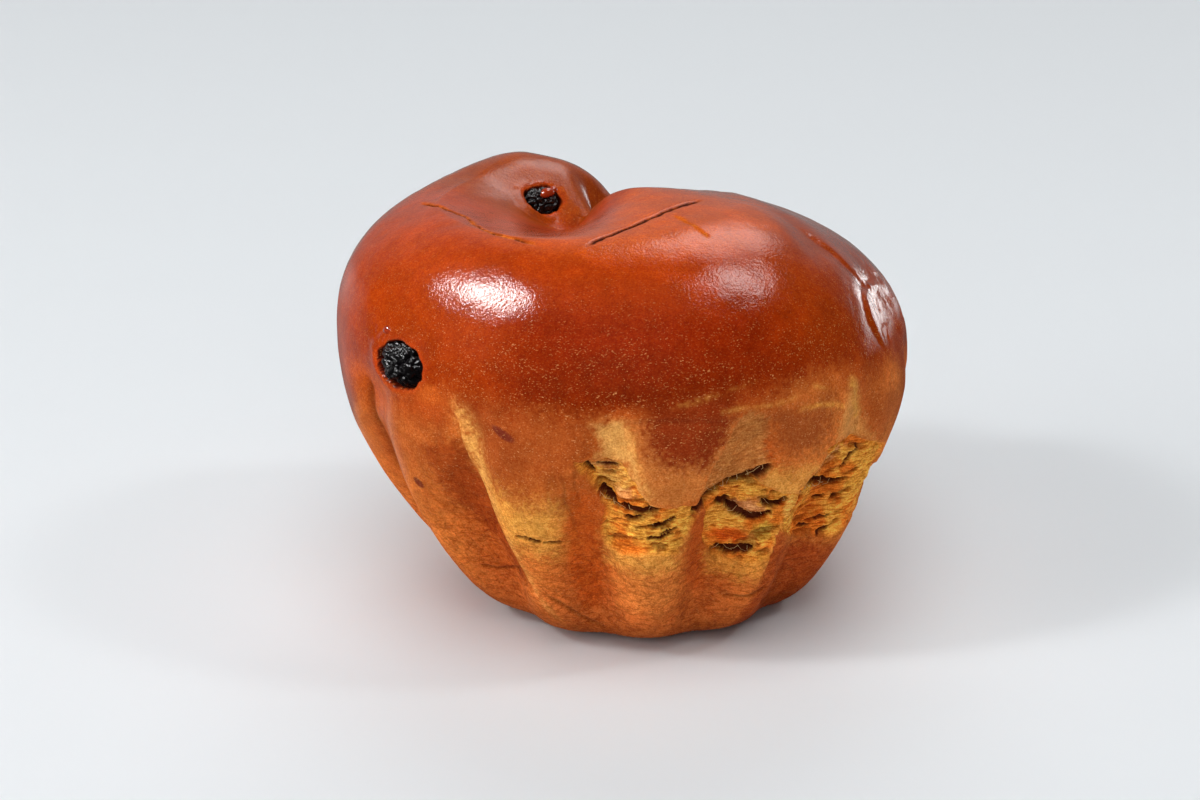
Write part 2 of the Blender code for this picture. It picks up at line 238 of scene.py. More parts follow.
def dough_form(turn, share):
    """The loaf without its panels, tears, cleft and dents."""
    reach = round_loaf(SHOULDER_REACH, turn)
    height = round_loaf(SHOULDER_HEIGHT, turn)
    crest_reach = round_loaf(CREST_REACH, turn)
    crest_height = round_loaf(CREST_HEIGHT, turn)
    foot = round_loaf(FOOT_REACH, turn)
    squareness = round_loaf(DOME_SQUARENESS, turn)

    up = np.clip((share - FOOT_SHARE) / (SIDE_SHARE - FOOT_SHARE), 0, 1)
    side_z = height * up
    flute = valley_at(turn, side_z) ** FLUTE_SHARPNESS * FLUTE_DEPTH
    flute = flute * (1 - ease(*FLUTE_FADE_HEIGHTS, side_z))
    flute = flute * (FLUTE_FOOT_SHARE + (1 - FLUTE_FOOT_SHARE) * ease(*FLUTE_FULL_HEIGHTS, side_z))
    side_r = reach - (reach - foot) * (1 - up) ** 2 - flute
    side_r = side_r - FOOT_ROUND * np.exp(-side_z / FOOT_ROUND_HEIGHT)
    side_r = side_r - round_loaf(WAIST, turn) * np.sin(np.pi * up)
    foot_flute = valley_at(turn, 0 * turn) ** FLUTE_SHARPNESS * FLUTE_DEPTH * FLUTE_FOOT_SHARE
    foot_r = (foot - FOOT_ROUND - foot_flute) * share / FOOT_SHARE

    over = np.clip((share - SIDE_SHARE) / (CREST_SHARE - SIDE_SHARE), 0, 1) * np.pi / 2
    dome_r = crest_reach + (reach - crest_reach) * np.maximum(np.cos(over), 0) ** squareness
    dome_z = height + (crest_height - height) * np.sin(over) ** squareness
    inward = np.clip((share - CREST_SHARE) / (1 - CREST_SHARE), 0, 1)
    dip_r = crest_reach * (1 - inward)
    dip_z = crest_height + (DIMPLE_HEIGHT - crest_height) * inward ** round_loaf(DIMPLE_STEEPNESS, turn)

    bands = [share <= FOOT_SHARE, share <= SIDE_SHARE, share <= CREST_SHARE]
    r = np.select(bands, [foot_r, side_r, dome_r], dip_r)
    z = np.select(bands, [0 * side_z, side_z, dome_z], dip_z)
    drift = 1 - np.maximum(np.cos(over), 0) ** squareness
    x = DIMPLE_X * drift + r * np.sin(turn)
    y = DIMPLE_Y * drift - r * np.cos(turn)

    top = ease(SIDE_SHARE, SIDE_SHARE + 0.15, share)
    away_x = (x - BUN_X) / np.where(x < BUN_X, BUN_LEFT, BUN_RIGHT)
    away_y = (y - BUN_Y) / np.where(y < BUN_Y, BUN_FRONT, BUN_BACK)
    away = np.hypot(away_x, away_y)
    bun_z = BUN_BASE + BUN_RISE * np.sqrt(np.clip(1 - away ** 2, 0, 1)) - BUN_FALL * np.maximum(away - 1, 0)
    left = ease(DIMPLE_X, DIMPLE_X - BUN_BLEND_RUN, x)
    blend = BUN_BLEND_RIGHT + (BUN_BLEND_LEFT - BUN_BLEND_RIGHT) * left
    lift = np.sqrt((bun_z - z) ** 2 + blend ** 2) * 0.5 + (bun_z - z) * 0.5
    navel = NAVEL_DEPTH * np.exp(-((x - NAVEL_X) ** 2 + (y - NAVEL_Y) ** 2) / NAVEL_WIDTH ** 2)
    z = z + (lift - navel) * top
    return np.stack([x + SHIFT_X, y + SHIFT_Y, z], axis=-1)


def outward(turn, share):
    """Unit vector out of the dough, by small steps along and round it."""
    step = 1e-3
    across = dough_form(turn + step, share) - dough_form(turn - step, share)
    along = dough_form(turn, np.minimum(share + step, 1)) - dough_form(turn, np.maximum(share - step, 0))
    normal = np.cross(across, along)
    return normal / np.maximum(np.linalg.norm(normal, axis=-1, keepdims=True), 1e-12)


# Dents in the right shoulder: turn, height, half sizes round and up, and depth, in mm.
DENTS = (
    (75.0, 61.0, 7.0, 7.0, 1.2),
    (58.5, 76.5, 5.0, 3.0, 0.7),
)


def cleft(place):
    """How deep the cleft is that runs from the dimple over the back of the loaf."""
    from_x, from_y = DIMPLE_X + SHIFT_X, DIMPLE_Y + SHIFT_Y
    run_x, run_y = CLEFT_X - from_x, CLEFT_Y - from_y
    run = math.hypot(run_x, run_y)
    off_x, off_y = place[..., 0] - from_x, place[..., 1] - from_y
    along = (off_x * run_x + off_y * run_y) / run ** 2
    width = CLEFT_WIDTH * (1 - CLEFT_NARROWING * ease(0.7, 1.2, along))
    aside = (off_x * run_y - off_y * run_x) / run / width
    return CLEFT_DEPTH * np.exp(-aside ** 2) * ease(0.05, 0.4, along) * ease(*CLEFT_HEIGHTS, place[..., 2])


def off_spot(u, z, turn_degrees, height, half_u, half_z, tilt=0.0):
    """How far each point lies from the middle of a round spot, as a share of its half sizes."""
    du, dz = u - turn_degrees * MM_PER_DEGREE, z - height
    along = (du * math.cos(tilt) + dz * math.sin(tilt)) / half_u
    across = (dz * math.cos(tilt) - du * math.sin(tilt)) / half_z
    return np.hypot(along, across)


# Tears, lips, creases and marks in the crust. On the belly their places are (turn in degrees,
# height in mm); on top of the dome they are (x, y) in mm. Depths and widths are in mm too.
# A step drops on the right of its line: its drop, and the widths in which it falls and fades out.
STEPS = (
    (0.28, 1.4, 3.0, ((-17, 54.2), (-12, 54), (-7.9, 53.7), (-5.8, 54.9), (-1.4, 55.4), (4.6, 55.7),
                      (14.4, 55.1), (29, 53.9), (35.3, 52.6), (43.7, 50.9))),
    (0.95, 0.4, 4.5, ((12, 38), (15.4, 45.9), (22.1, 55))),
    (0.40, 1.2, 4.0, ((-2.2, 54.7), (-1.9, 50.5), (-1.2, 46.4), (0.2, 42.4), (1.2, 39.4))),
    (1.30, 1.0, 5.0, ((-40.5, 53), (-40.1, 50.2), (-39.8, 45.5), (-38.2, 35.9), (-33.1, 28), (-29.8, 21.8),
                      (-26.9, 12.5))),
    (1.70, 0.5, 4.5, ((31.0, 16), (32.4, 22.1), (32.4, 27.6), (34.6, 31.5), (36.5, 33), (36.2, 35.5),
                      (38.2, 38.6), (40.6, 40.4), (43, 44.6))),
    (1.70, 0.35, 5.0, ((-6, 36), (-8.2, 36.9), (-9.4, 38.7), (-11.3, 41.5), (-13, 46))),
    (1.00, 0.35, 3.0, ((-13, 46), (-9.4, 46.2), (-4.3, 45.9), (-3.1, 45))),
    (0.70, 0.8, 4.0, ((30.0, 27), (27.0, 29), (21.5, 30))),
    (0.45, 0.5, 2.5, ((-8.5, 27.5), (-4.8, 26), (0.5, 27.4), (8.4, 26.4))[::-1]),
    (0.60, 0.7, 3.0, ((35.8, 11), (45, 8), (58.3, 5.7))),
)

# A gash is a lens with steep walls: its depth, its half width and its line.
GASHES = (
    (1.9, 0.44, ((-9.0, 38.2), (-7.8, 36.9), (-6.0, 36.0), (-4.4, 36.0))),
    (0.9, 0.26, ((-12.2, 45.4), (-10.8, 43.4), (-9.9, 41.6))),
    (0.8, 0.24, ((-9.4, 44.6), (-6.8, 44.2), (-4.6, 44.6))),
    (1.9, 0.55, ((-4.6, 36.3), (-1.9, 36.4), (0.5, 36.0), (4.5, 37.2))),
    (1.3, 0.34, ((-3.9, 34.4), (-1.8, 34.1), (0.0, 35.0))),
    (1.7, 0.48, ((1.6, 32.9), (5.0, 33.2), (8.2, 34.5))),
    (1.2, 0.34, ((1.4, 30.1), (5.0, 30.2), (7.8, 30.9))),
    (1.0, 0.26, ((4.6, 31.2), (8.8, 32.1))),
    (3.0, 0.86, ((12.8, 35.6), (13.6, 38.0), (17.5, 39.0), (21.8, 39.3), (25.2, 41.2), (28.3, 43.6))),
    (2.2, 0.72, ((12.0, 34.6), (13.4, 37.0), (16.8, 38.3), (21.0, 38.9))),
    (1.7, 0.62, ((18.2, 34.8), (19.6, 34.3), (21.0, 34.8))),
    (1.6, 0.55, ((20.2, 33.4), (23.3, 31.8), (25.9, 31.0), (30.4, 32.6))),
    (2.0, 0.52, ((27.4, 34.9), (30.5, 34.3), (33.8, 35.2))),
    (2.0, 0.60, ((19.4, 23.9), (23.4, 23.3), (27.4, 24.0))),
    (2.2, 0.50, ((35.8, 36.7), (37.4, 37.3), (44, 34.6), (51.4, 31.7), (53.8, 31.9), (56.8, 32.4))),
    (1.1, 0.30, ((54.0, 34.5), (55.5, 37), (57.1, 39.6))),
    (1.4, 0.45, ((36.5, 34.3), (39.5, 33.3), (43, 31.9))),
    (1.2, 0.34, ((49.4, 29.0), (52.6, 28.8))),
    (0.9, 0.26, ((53.8, 28.0), (55.6, 28.8))),
    (0.9, 0.26, ((52.6, 23.5), (56.0, 24.1))),
    (0.9, 0.26, ((49.0, 22.5), (52.4, 22.1))),
    (0.9, 0.26, ((54.3, 19.9), (57.2, 21.6))),
    (1.0, 0.28, ((-28.2, 28.4), (-25, 28.1), (-22.6, 27.7))),
    (0.5, 0.18, ((-22.4, 27.5), (-18.4, 27.3))),
)

# A crease is a soft groove, or a soft rib where its depth is below zero.
CREASES = (
    (0.20, 0.34, ((-16.6, 44.8), (-15.4, 41), (-16.2, 37.4), (-15.0, 33), (-15.8, 28.8))),
    (0.17, 0.30, ((-13.0, 45), (-13.8, 41), (-13.0, 38.1), (-13.6, 34.8))),
    (0.11, 0.40, ((-18.6, 43), (-19.4, 39), (-18.7, 34.8))),
    (0.10, 0.60, ((-17.6, 46), (-17.8, 40), (-17.2, 33))),
    (0.35, 0.45, ((-50.4, 15.1), (-44.9, 13.6), (-36, 17), (-29.3, 20.2))),
    (0.60, 0.70, ((-68.0, 52), (-69.1, 47), (-71, 38.1), (-77.8, 27.4))),
    (0.45, 0.40, ((-25.5, 14.4), (-22.1, 12), (-19, 8.7), (-15.8, 6.3), (-10.5, 4.4))),
    (0.45, 0.40, ((23.2, 13.3), (30.2, 12.2), (35.4, 15.6))),
    (-0.30, 0.50, ((49.2, 56), (50.4, 51.3), (54.2, 46.2))),
    (-0.16, 0.30, ((33.6, 53.9), (40.6, 53), (47.6, 51))),
    (-0.14, 0.26, ((39, 57.5), (42.4, 55.5))),
)

# Tears over the dome: depth, half width, what their edges are like, line.
TOP_GASHES = (
    (0.30, 0.40, "flaky", ((-40.5, 9.8), (-35.2, 1.3), (-32.8, -0.7), (-29.6, -3.9), (-27.4, -11.0),
                           (-25.8, -15.3), (-21.9, -19.4), (-18.4, -22.0), (-15.4, -25.8))),
    (0.45, 0.62, "dark", ((-7.2, -26.6), (-1.9, -20.8), (3.1, -15.7), (8.3, -10.3), (15.6, -3.3))),
    (0.10, 0.50, "pale", ((9.2, -13.0), (12.0, -17.5), (14.6, -21.5), (16.2, -23.8))),
)

# The crease over the right shoulder, and the sharp rim of the shrunken patch under it.
FOLDS = (
    (0.50, 1.10, 3.2, ((57.8, 78.6), (62.2, 77.4), (65.0, 74.9), (67.7, 71.5), (72.2, 67.4), (77.8, 65.0),
                       (86, 61.5))),
    (0.55, 0.90, 3.6, ((84, 64.5), (74.0, 66.5), (66.5, 66.9), (63.6, 65.3), (62.4, 63.0), (65.0, 58.2),
                       (68, 55))),
)

# Puckered patches of glazed skin: turn, height, half sizes, and their folds' size and depth.
PUCKERS = (
    (71.0, 61.5, 4.5, 4.5, 0.0020, 0.55),
    (84.0, 60.0, 8.0, 8.0, 0.0030, 0.35),
    (-62.0, 60.5, 3.2, 3.0, 0.0014, 0.35),
)

STEP_END, STEP_FADE = 0.12, (5.5, 8.0)
FOLD_END, FOLD_FADE, FOLD_OVERLAP = 0.25, (5.0, 8.0), 0.3
GASH_SPREAD, GASH_BLUNTNESS, GASH_FULL_DEPTH = 1.70, 0.35, 1.4
FIBRE_RISE = math.radians(14.0)
EDGE_WOBBLE, TOP_WOBBLE = 0.16, 0.35


def chain(points, scale):
    """A listed line, scaled to mm, with its corners rounded by cutting them twice."""
    line = np.array(points, float) * scale
    for _ in range(2 if len(line) > 2 else 0):
        early = line[:-1] * 0.75 + line[1:] * 0.25
        late = line[:-1] * 0.25 + line[1:] * 0.75
        middle = np.stack([early, late], axis=1).reshape(-1, 2)
        line = np.concatenate([line[:1], middle, line[-1:]])
    return line


def trace(u, v, line, reach=9.0):
    """How far each point lies from a line, to its right above zero, and how far along it (0 to 1)."""
    away = np.full(u.shape, 99.0)
    side = np.ones(u.shape)
    along = np.zeros(u.shape)
    close = (u > line[:, 0].min() - reach) & (u < line[:, 0].max() + reach)
    close &= (v > line[:, 1].min() - reach) & (v < line[:, 1].max() + reach)
    if not close.any():
        return away, along
    a, b = u[close], v[close]
    near, turned, gone = away[close], side[close], along[close]
    runs = np.hypot(*np.diff(line, axis=0).T)
    total, past = runs.sum(), 0.0
    for (u0, v0), (u1, v1), run in zip(line[:-1], line[1:], runs):
        du, dv = (u1 - u0) / run, (v1 - v0) / run
        share = np.clip((a - u0) * du + (b - v0) * dv, 0, run)
        off_u, off_v = a - u0 - share * du, b - v0 - share * dv
        off = np.hypot(off_u, off_v)
        better = off < near
        near = np.where(better, off, near)
        turned = np.where(better, np.where(off_u * dv - off_v * du >= 0, 1.0, -1.0), turned)
        gone = np.where(better, (past + share) / total, gone)
        past += run
    away[close] = near * turned
    along[close] = gone
    return away, along


def taper(along, end=0.12):
    """1 along a line, easing to 0 at both of its ends."""
    return ease(0, end, along) * ease(0, end, 1 - along)


def inside(u, v, corners):
    """How far inside a listed outline each point lies, in mm; below zero outside."""
    line = np.array(corners, float) * (MM_PER_DEGREE, 1)
    line = np.concatenate([line, line[:1]])
    away = np.abs(trace(u, v, line)[0])
    odd = np.zeros(u.shape, bool)
    for (u0, v0), (u1, v1) in zip(line[:-1], line[1:]):
        crosses = (v0 > v) != (v1 > v)
        at = u0 + (v - v0) * (u1 - u0) / np.where(v1 == v0, 1e-9, v1 - v0)
        odd ^= crosses & (u < at)
    return np.where(odd, away, -away)


# Torn crumb: pulled, fibrous bread between the flutes, each outline with the depth of its floor.
TORN = (
    (0.50, ((-13, 46), (-9.4, 46.2), (-4.3, 45.9), (-3.1, 45), (-1, 41.9), (0.2, 40), (2.0, 37.8),
            (4.5, 37.4), (12, 37.2), (12.8, 34), (10.5, 30), (9, 26.6), (0.5, 27.2), (-4.8, 26),
            (-8.4, 26.6), (-9.2, 30), (-7.8, 35.4), (-9.6, 38.4), (-11.4, 41.5))),
    (0.60, ((13.5, 38.3), (17.5, 38.7), (21.8, 38.9), (25.4, 40.4), (29.5, 37.8), (35.8, 35.6), (36.6, 33),
            (34.6, 31.5), (32.6, 27.6), (32.0, 22.1), (27, 21.4), (19.4, 22.6), (16.4, 27), (15.6, 33))),
    (0.70, ((43, 44.6), (49, 44), (57, 41), (66, 38), (70, 30), (66, 22), (58, 19.2), (48, 21.6), (40, 24.6),
            (34.0, 27.8), (36.4, 33), (36.2, 35.5), (38.2, 38.6), (40.6, 40.4))),
)


def torn_share(u, v, place):
    """How torn each point of the front is, and how deep its floor lies, from the ragged outlines."""
    ragged_u = u + 0.45 * lumps(place, 0.0011, 31) + 0.35 * lumps(place, 0.0030, 32)
    ragged_v = v + 0.45 * lumps(place, 0.0011, 33) + 0.35 * lumps(place, 0.0030, 34)
    share = np.zeros(u.shape)
    floor_depth = np.zeros(u.shape)
    for depth, corners in TORN:
        within = ease(-0.35, 0.35, inside(ragged_u, ragged_v, corners))
        share = np.maximum(share, within)
        floor_depth = np.maximum(floor_depth, within * depth)
    return share, floor_depth


# The tears at the sides and the back follow a rule: how strong they are round the loaf, and how high
# they start and stop on a ridge and in a valley. Those between the front turns are listed one by one.
TEAR_STRENGTH = (0.0, 0.0, 0.5, 0.7, 0.7, 0.5, 0.12, 0.0)
TEAR_TOP_RIDGE, TEAR_TOP_VALLEY = 33.5, 43.5
TEAR_FOOT_RIDGE, TEAR_FOOT_VALLEY = 27.5, 24.0
FRONT_TURNS = (-30.0, -22.0, 66.0, 76.0)

# How far up the loaf each kind of mark may lie, as a share of the way.
SIDE_TOP_SHARE, DOME_FOOT_SHARE, FOLD_TOP_SHARE, PUCKER_TOP_SHARE = 0.66, 0.60, 0.86, 0.84

# The drawn skin between two tears, and the wrinkled valley at the left: their outlines.
STRETCHED = ((22.6, 55.2), (27.4, 54), (27.3, 48.5), (29, 45), (33, 41), (36, 37.6), (28.3, 42.6),
             (21.8, 39.9), (13.6, 39), (15.6, 45.9))
LEFT_VALLEY = ((-50, 44), (-41.5, 48), (-39.5, 36), (-34, 28), (-29, 14), (-24, 4), (-44, 3), (-56, 12),
               (-58, 26))


def in_front(turn):
    """1 where the tears are listed one by one, easing to 0 where they follow a rule."""
    degrees = np.degrees(turn)
    return ease(*FRONT_TURNS[:2], degrees) * (1 - ease(*FRONT_TURNS[2:], degrees))


def far_tears(turn, z, place):
    """The tears at the sides and the back, worked out by rule: how torn each point is."""
    valley = valley_at(turn, z / 1000)
    ragged = lumps(place, 0.0050, 7) * 1.8 + lumps(place, 0.0016, 8) * 0.7
    upper = TEAR_TOP_RIDGE + (TEAR_TOP_VALLEY - TEAR_TOP_RIDGE) * valley + ragged
    lower = TEAR_FOOT_RIDGE + (TEAR_FOOT_VALLEY - TEAR_FOOT_RIDGE) * valley + ragged
    within = ease(-0.5, 0.5, upper - z) * ease(-1.5, 1.5, z - lower)
    strength = np.clip(round_loaf(TEAR_STRENGTH, turn), 0, 1) * (0.2 + 0.8 * valley)
    return within * strength * (1 - in_front(turn))


def fibres(u, v, length, width, rise, seed):
    """Ridges of pulled crumb, from 0 to 1, stretched along their own rise."""
    along = (u * math.cos(rise) + v * math.sin(rise)) / length
    across = (v * math.cos(rise) - u * math.sin(rise)) / width
    bend = lumps(np.stack([u / 5, v / 5, 0 * u + seed], axis=-1), 1.0, seed + 1)
    noise = lumps(np.stack([along, across + 1.6 * bend, 0 * u + 3.5], axis=-1), 1.0, seed)
    return 1 - np.abs(noise)


def warp(place):
    """Three lumpy offsets for each point, which bend a pattern that is laid over the skin."""
    return np.stack([lumps(place, 0.0016, seed) for seed in (57, 58, 59)], axis=-1)


def step_down(near, points, drop, fall, run_out, end=STEP_END, fade=STEP_FADE, overlap=0.0):
    """Depth of a step at the right of a line, which starts over the line by a part of its fall."""
    off, along = trace(*near, chain(points, (MM_PER_DEGREE, 1)))
    slope = ease(-fall * overlap, fall, off) * np.exp(-np.maximum(off - fall, 0) / run_out)
    return drop * slope * taper(along, end) * (1 - ease(*fade, off))


def torn_relief(turn, place, side, looks):
    """Depth of the torn crumb, with its strands and the open pockets between them."""
    u, z = looks["u"], looks["z"]
    torn, floor_depth = (part * side for part in torn_share(u, z, place))
    far = far_tears(turn, z, place) * side
    swing = FIBRE_RISE * (1 + 1.6 * lumps(place, 0.0080, 50))
    coarse = fibres(u, z, 4.5, 0.80, FIBRE_RISE, 51)
    fine = fibres(u + swing * 3, z, 2.0, 0.34, FIBRE_RISE * 1.6, 52)
    clumps, crumbs = lumps(place, 0.0022, 53), lumps(place, 0.0008, 49)
    strand = 0.40 * coarse ** 2 + 0.38 * fine ** 2 + 0.22 * clumps + 0.16 * crumbs + 0.12
    strand = np.clip(strand, 0, 1)
    open_slots = lumps(np.stack([u / 2.6, (z - 0.22 * u) / 0.85, 0 * u], axis=-1), 1.0, 54)
    pocket = ease(0.34, 0.62, 0.4 * clumps - open_slots)
    looks.update(torn=torn, far=far, strand=strand, pocket=pocket, fine=fine, clumps=clumps)
    return floor_depth + np.maximum(torn, far) * (0.95 * (1 - strand) + 0.8 * pocket) + far


def wrinkle_relief(turn, place, side, near, looks):
    """Depth of the drawn skin over the belly, and of the fine wrinkles low on the flutes."""
    u, z, torn = looks["u"], looks["z"], looks["torn"]
    whole = 1 - np.maximum(torn, looks["far"])
    zone = ease(30, 20, z) * side * whole * (0.35 + 0.65 * valley_at(turn, z / 1000))
    zone = np.maximum(zone, ease(-1.5, 1.5, inside(u, z, LEFT_VALLEY)) * side)
    stretched = ease(-0.8, 0.8, inside(*near, STRETCHED)) * side * (1 - torn)
    drawn = np.stack([(u + 0.35 * z) / 0.75, z / 1.9, 0 * u], axis=-1)
    squiggle = 1 - np.abs(lumps(drawn + 0.55 * warp(place), 1.0, 55))
    pucker = 1 - np.abs(lumps(place + 0.0003 * warp(place), 0.0009, 56))
    wrinkle = zone * (0.55 * squiggle ** 5 + 0.45 * pucker ** 5) * (0.75 + 0.25 * looks["clumps"])
    looks.update(stretched=stretched, wrinkle=wrinkle)
    return 0.35 * stretched * (1 - looks["fine"] ** 2) + 0.26 * wrinkle


def line_relief(side, near, looks):
    """Depth of the gashes and the creases in the belly, and how much of each every point has."""
    depth, hollow, crease = np.zeros((3,) + side.shape)
    for gash_depth, half, points in GASHES:
        off, along = trace(*near, chain(points, (MM_PER_DEGREE, 1)))
        width = GASH_SPREAD * half * np.clip(4 * along * (1 - along), 0, 1) ** GASH_BLUNTNESS + 0.02
        wall = np.clip(1 - (np.abs(off) / width) ** 2, 0, 1) ** 0.5 * side
        hollow = np.maximum(hollow, wall * min(gash_depth / GASH_FULL_DEPTH, 1.0))
        depth = depth + gash_depth * wall
    for crease_depth, half, points in CREASES:
        off, along = trace(*near, chain(points, (MM_PER_DEGREE, 1)))
        groove = np.exp(-(off / half) ** 2) * taper(along) * side
        depth = depth + crease_depth * groove
        crease = np.maximum(crease, groove * np.sign(crease_depth) * min(abs(crease_depth) / 0.4, 1))
    looks.update(hollow=hollow, crease=crease)
    return depth


def top_relief(place, top, looks):
    """Depth of the tears over the dome, and how much of each kind of line every point has."""
    seeds = ((0, 43), (1, 44))
    near = [place[..., axis] * 1000 + TOP_WOBBLE * lumps(place, 0.0016, seed) for axis, seed in seeds]
    depth, top_line = np.zeros((2,) + top.shape)
    lines = {kind: np.zeros(top.shape) for kind in ("flaky", "dark", "pale")}
    for gash_depth, half, kind, points in TOP_GASHES:
        off, along = trace(*near, chain(points, (1, 1)))
        groove = np.exp(-(off / half) ** 2) * taper(along) * top
        spread = np.exp(-(off / (half * 1.5)) ** 2) * taper(along) * top
        lines[kind] = np.maximum(lines[kind], spread if kind == "flaky" else groove)
        top_line = np.maximum(top_line, groove)
        depth = depth + gash_depth * groove
    looks.update(lines=lines, top_line=top_line)
    return depth


def relief(turn, share, place):
    """Depth under the plain dough in mm, and what the crust is like there, point by point."""
    u, z = np.degrees(turn) * MM_PER_DEGREE, place[..., 2] * 1000
    looks = {"u": u, "z": z}
    side = (share > FOOT_SHARE) & (share < SIDE_TOP_SHARE)
    near = [at + EDGE_WOBBLE * lumps(place, 0.0009, seed) for at, seed in ((u, 41), (z, 42))]

    depth = valley_at(turn, z / 1000) ** PANEL_SHARPNESS * PANEL_DEPTH * 1000
    depth = depth * ease(*PANEL_RISE_HEIGHTS, z / 1000) * (1 - ease(*PANEL_FADE_HEIGHTS, z / 1000))
    for drop, fall, run_out, points in STEPS:
        depth = depth + step_down(near, points, drop, fall, run_out) * side
    depth = depth + torn_relief(turn, place, side, looks)
    depth = depth + wrinkle_relief(turn, place, side, near, looks)
    depth = depth + line_relief(side, near, looks)
    depth = depth + top_relief(place, share > DOME_FOOT_SHARE, looks)
    for drop, fall, run_out, points in FOLDS:
        fold = step_down(near, points, drop, fall, run_out, FOLD_END, FOLD_FADE, FOLD_OVERLAP)
        depth = depth + fold * (share < FOLD_TOP_SHARE)

    depth = depth + cleft(place) * 1000
    for *spot, dent_depth in DENTS:
        depth = depth + dent_depth * np.exp(-off_spot(u, z, *spot) ** 2)
    for *spot, fold_size, fold_depth in PUCKERS:
        zone = np.exp(-off_spot(u, z, *spot) ** 2) * (share < PUCKER_TOP_SHARE)
        fold = 1 - np.abs(lumps(place + 0.0008 * warp(place), fold_size, 63))
        depth = depth + fold_depth * zone * fold ** 3
    dimpled = ease(0.52, 0.60, share)
    depth = depth + (0.05 + 0.05 * dimpled) * lumps(place, 0.0052, 61)
    depth = depth + (0.015 + 0.03 * dimpled) * lumps(place, 0.0026, 62)
    return depth, looks


# The raisins' places: dried grapes that the dough carried up and baked into its skin, each in a pit
# with a raised rim. Turn, share of the way up, half sizes across, up and out, and how far it is sunk.
RAISINS = {
    "raisin_side": (-55.5, 0.536, 0.0058, 0.0041, 0.0036, 0.0018),
    "raisin_top": (-105.0, 0.934, 0.0037, 0.0032, 0.0027, 0.0006),
}
PIT_GAP, PIT_DEPTH, PIT_REACH, PIT_RING_WIDTH = 0.0003, 0.0042, 0.006, 0.0007
PIT_LENGTHENING, RIM_HEIGHT, RIM_WIDTH = 1.04, 0.00035, 0.0011


def raisin_frame(name):
    """Middle of a raisin under the crust, and its directions across, up and out."""
    turn_degrees, share, _, _, _, sunk = RAISINS[name]
    turn, level = np.array([math.radians(turn_degrees)]), np.array([share])
    out = outward(turn, level)[0]
    middle = dough_form(turn, level)[0] - out * sunk
    across = np.cross((0.0, 0.0, 1.0), out)
    across = across / np.linalg.norm(across)
    return middle, across, np.cross(out, across), out


def pits(place):
    """Depth of the raisins' pits in mm, less their rims, and how near each point is to a raisin."""
    depth = np.zeros(place.shape[:-1])
    nearness = np.zeros(place.shape[:-1])
    for name, (_, _, half_across, half_up, _, _) in RAISINS.items():
        middle, across, up, out = raisin_frame(name)
        a = (place - middle) @ across / (half_across * PIT_LENGTHENING + PIT_GAP)
        b = (place - middle) @ up / (half_up + PIT_GAP)
        close = np.abs((place - middle) @ out) < PIT_REACH
        off = (np.hypot(a, b) - 1) * half_up + 0.00025 * lumps(place, 0.0012, 71)
        well = PIT_DEPTH * ease(0, -PIT_RING_WIDTH, off)
        low_left = np.clip(-(a + b) / np.maximum(np.hypot(a, b), 0.1), 0, 1.4)
        rim = RIM_HEIGHT * (1 + 0.9 * low_left) * np.exp(-((off - PIT_RING_WIDTH) / RIM_WIDTH) ** 2)
        depth = depth + (well - rim) * 1000 * close
        beside = np.exp(-(np.maximum(off, 0) / PIT_RING_WIDTH) ** 2)
        nearness = nearness + 0.5 * (beside + ease(0.0002, -0.0002, off)) * close
    return depth, nearness


# The crust's colours, as they look in soft light, from the glazed dome down to the foot.
def tone(red, green, blue):
    """Linear colour of an 8-bit screen colour."""
    parts = np.array([red, green, blue]) / 255
    return np.where(parts <= 0.04045, parts / 12.92, ((parts + 0.055) / 1.055) ** 2.4)


# The dome's colours: the lighter left and top are painted light, and the darker slope and band are partly
# painted shade.
DOME_LEFT, DOME_MIDDLE, DOME_RIGHT = tone(182, 64, 4), tone(172, 58, 5), tone(156, 58, 6)
DOME_SLOPE, DOME_BAND, LIT_DOME_TOP = tone(142, 38, 2), tone(128, 36, 2), tone(208, 86, 6)
BUN_TOP = tone(152, 64, 12)
RIDGE, VALLEY, FOOT = tone(226, 126, 54), tone(194, 88, 31), tone(220, 114, 51)
PANEL, PALE, CREST = tone(142, 50, 17), tone(240, 174, 92), tone(252, 182, 92)
CRUMB, CRUMB_ORANGE = tone(240, 176, 74), tone(226, 126, 42)
# Film is the crumb's thin membranes; the hollows' tone is painted shade in the gashes and the pockets.
FILM, HOLLOW_SHADE = tone(214, 156, 104), tone(86, 40, 22)
PIT_WALL, PIT_RING = tone(64, 12, 5), tone(204, 70, 18)
GOLD, CRACK_SHADE = tone(236, 168, 74), tone(60, 17, 5)
FLAKE, MARK = tone(208, 112, 40), tone(112, 40, 30)

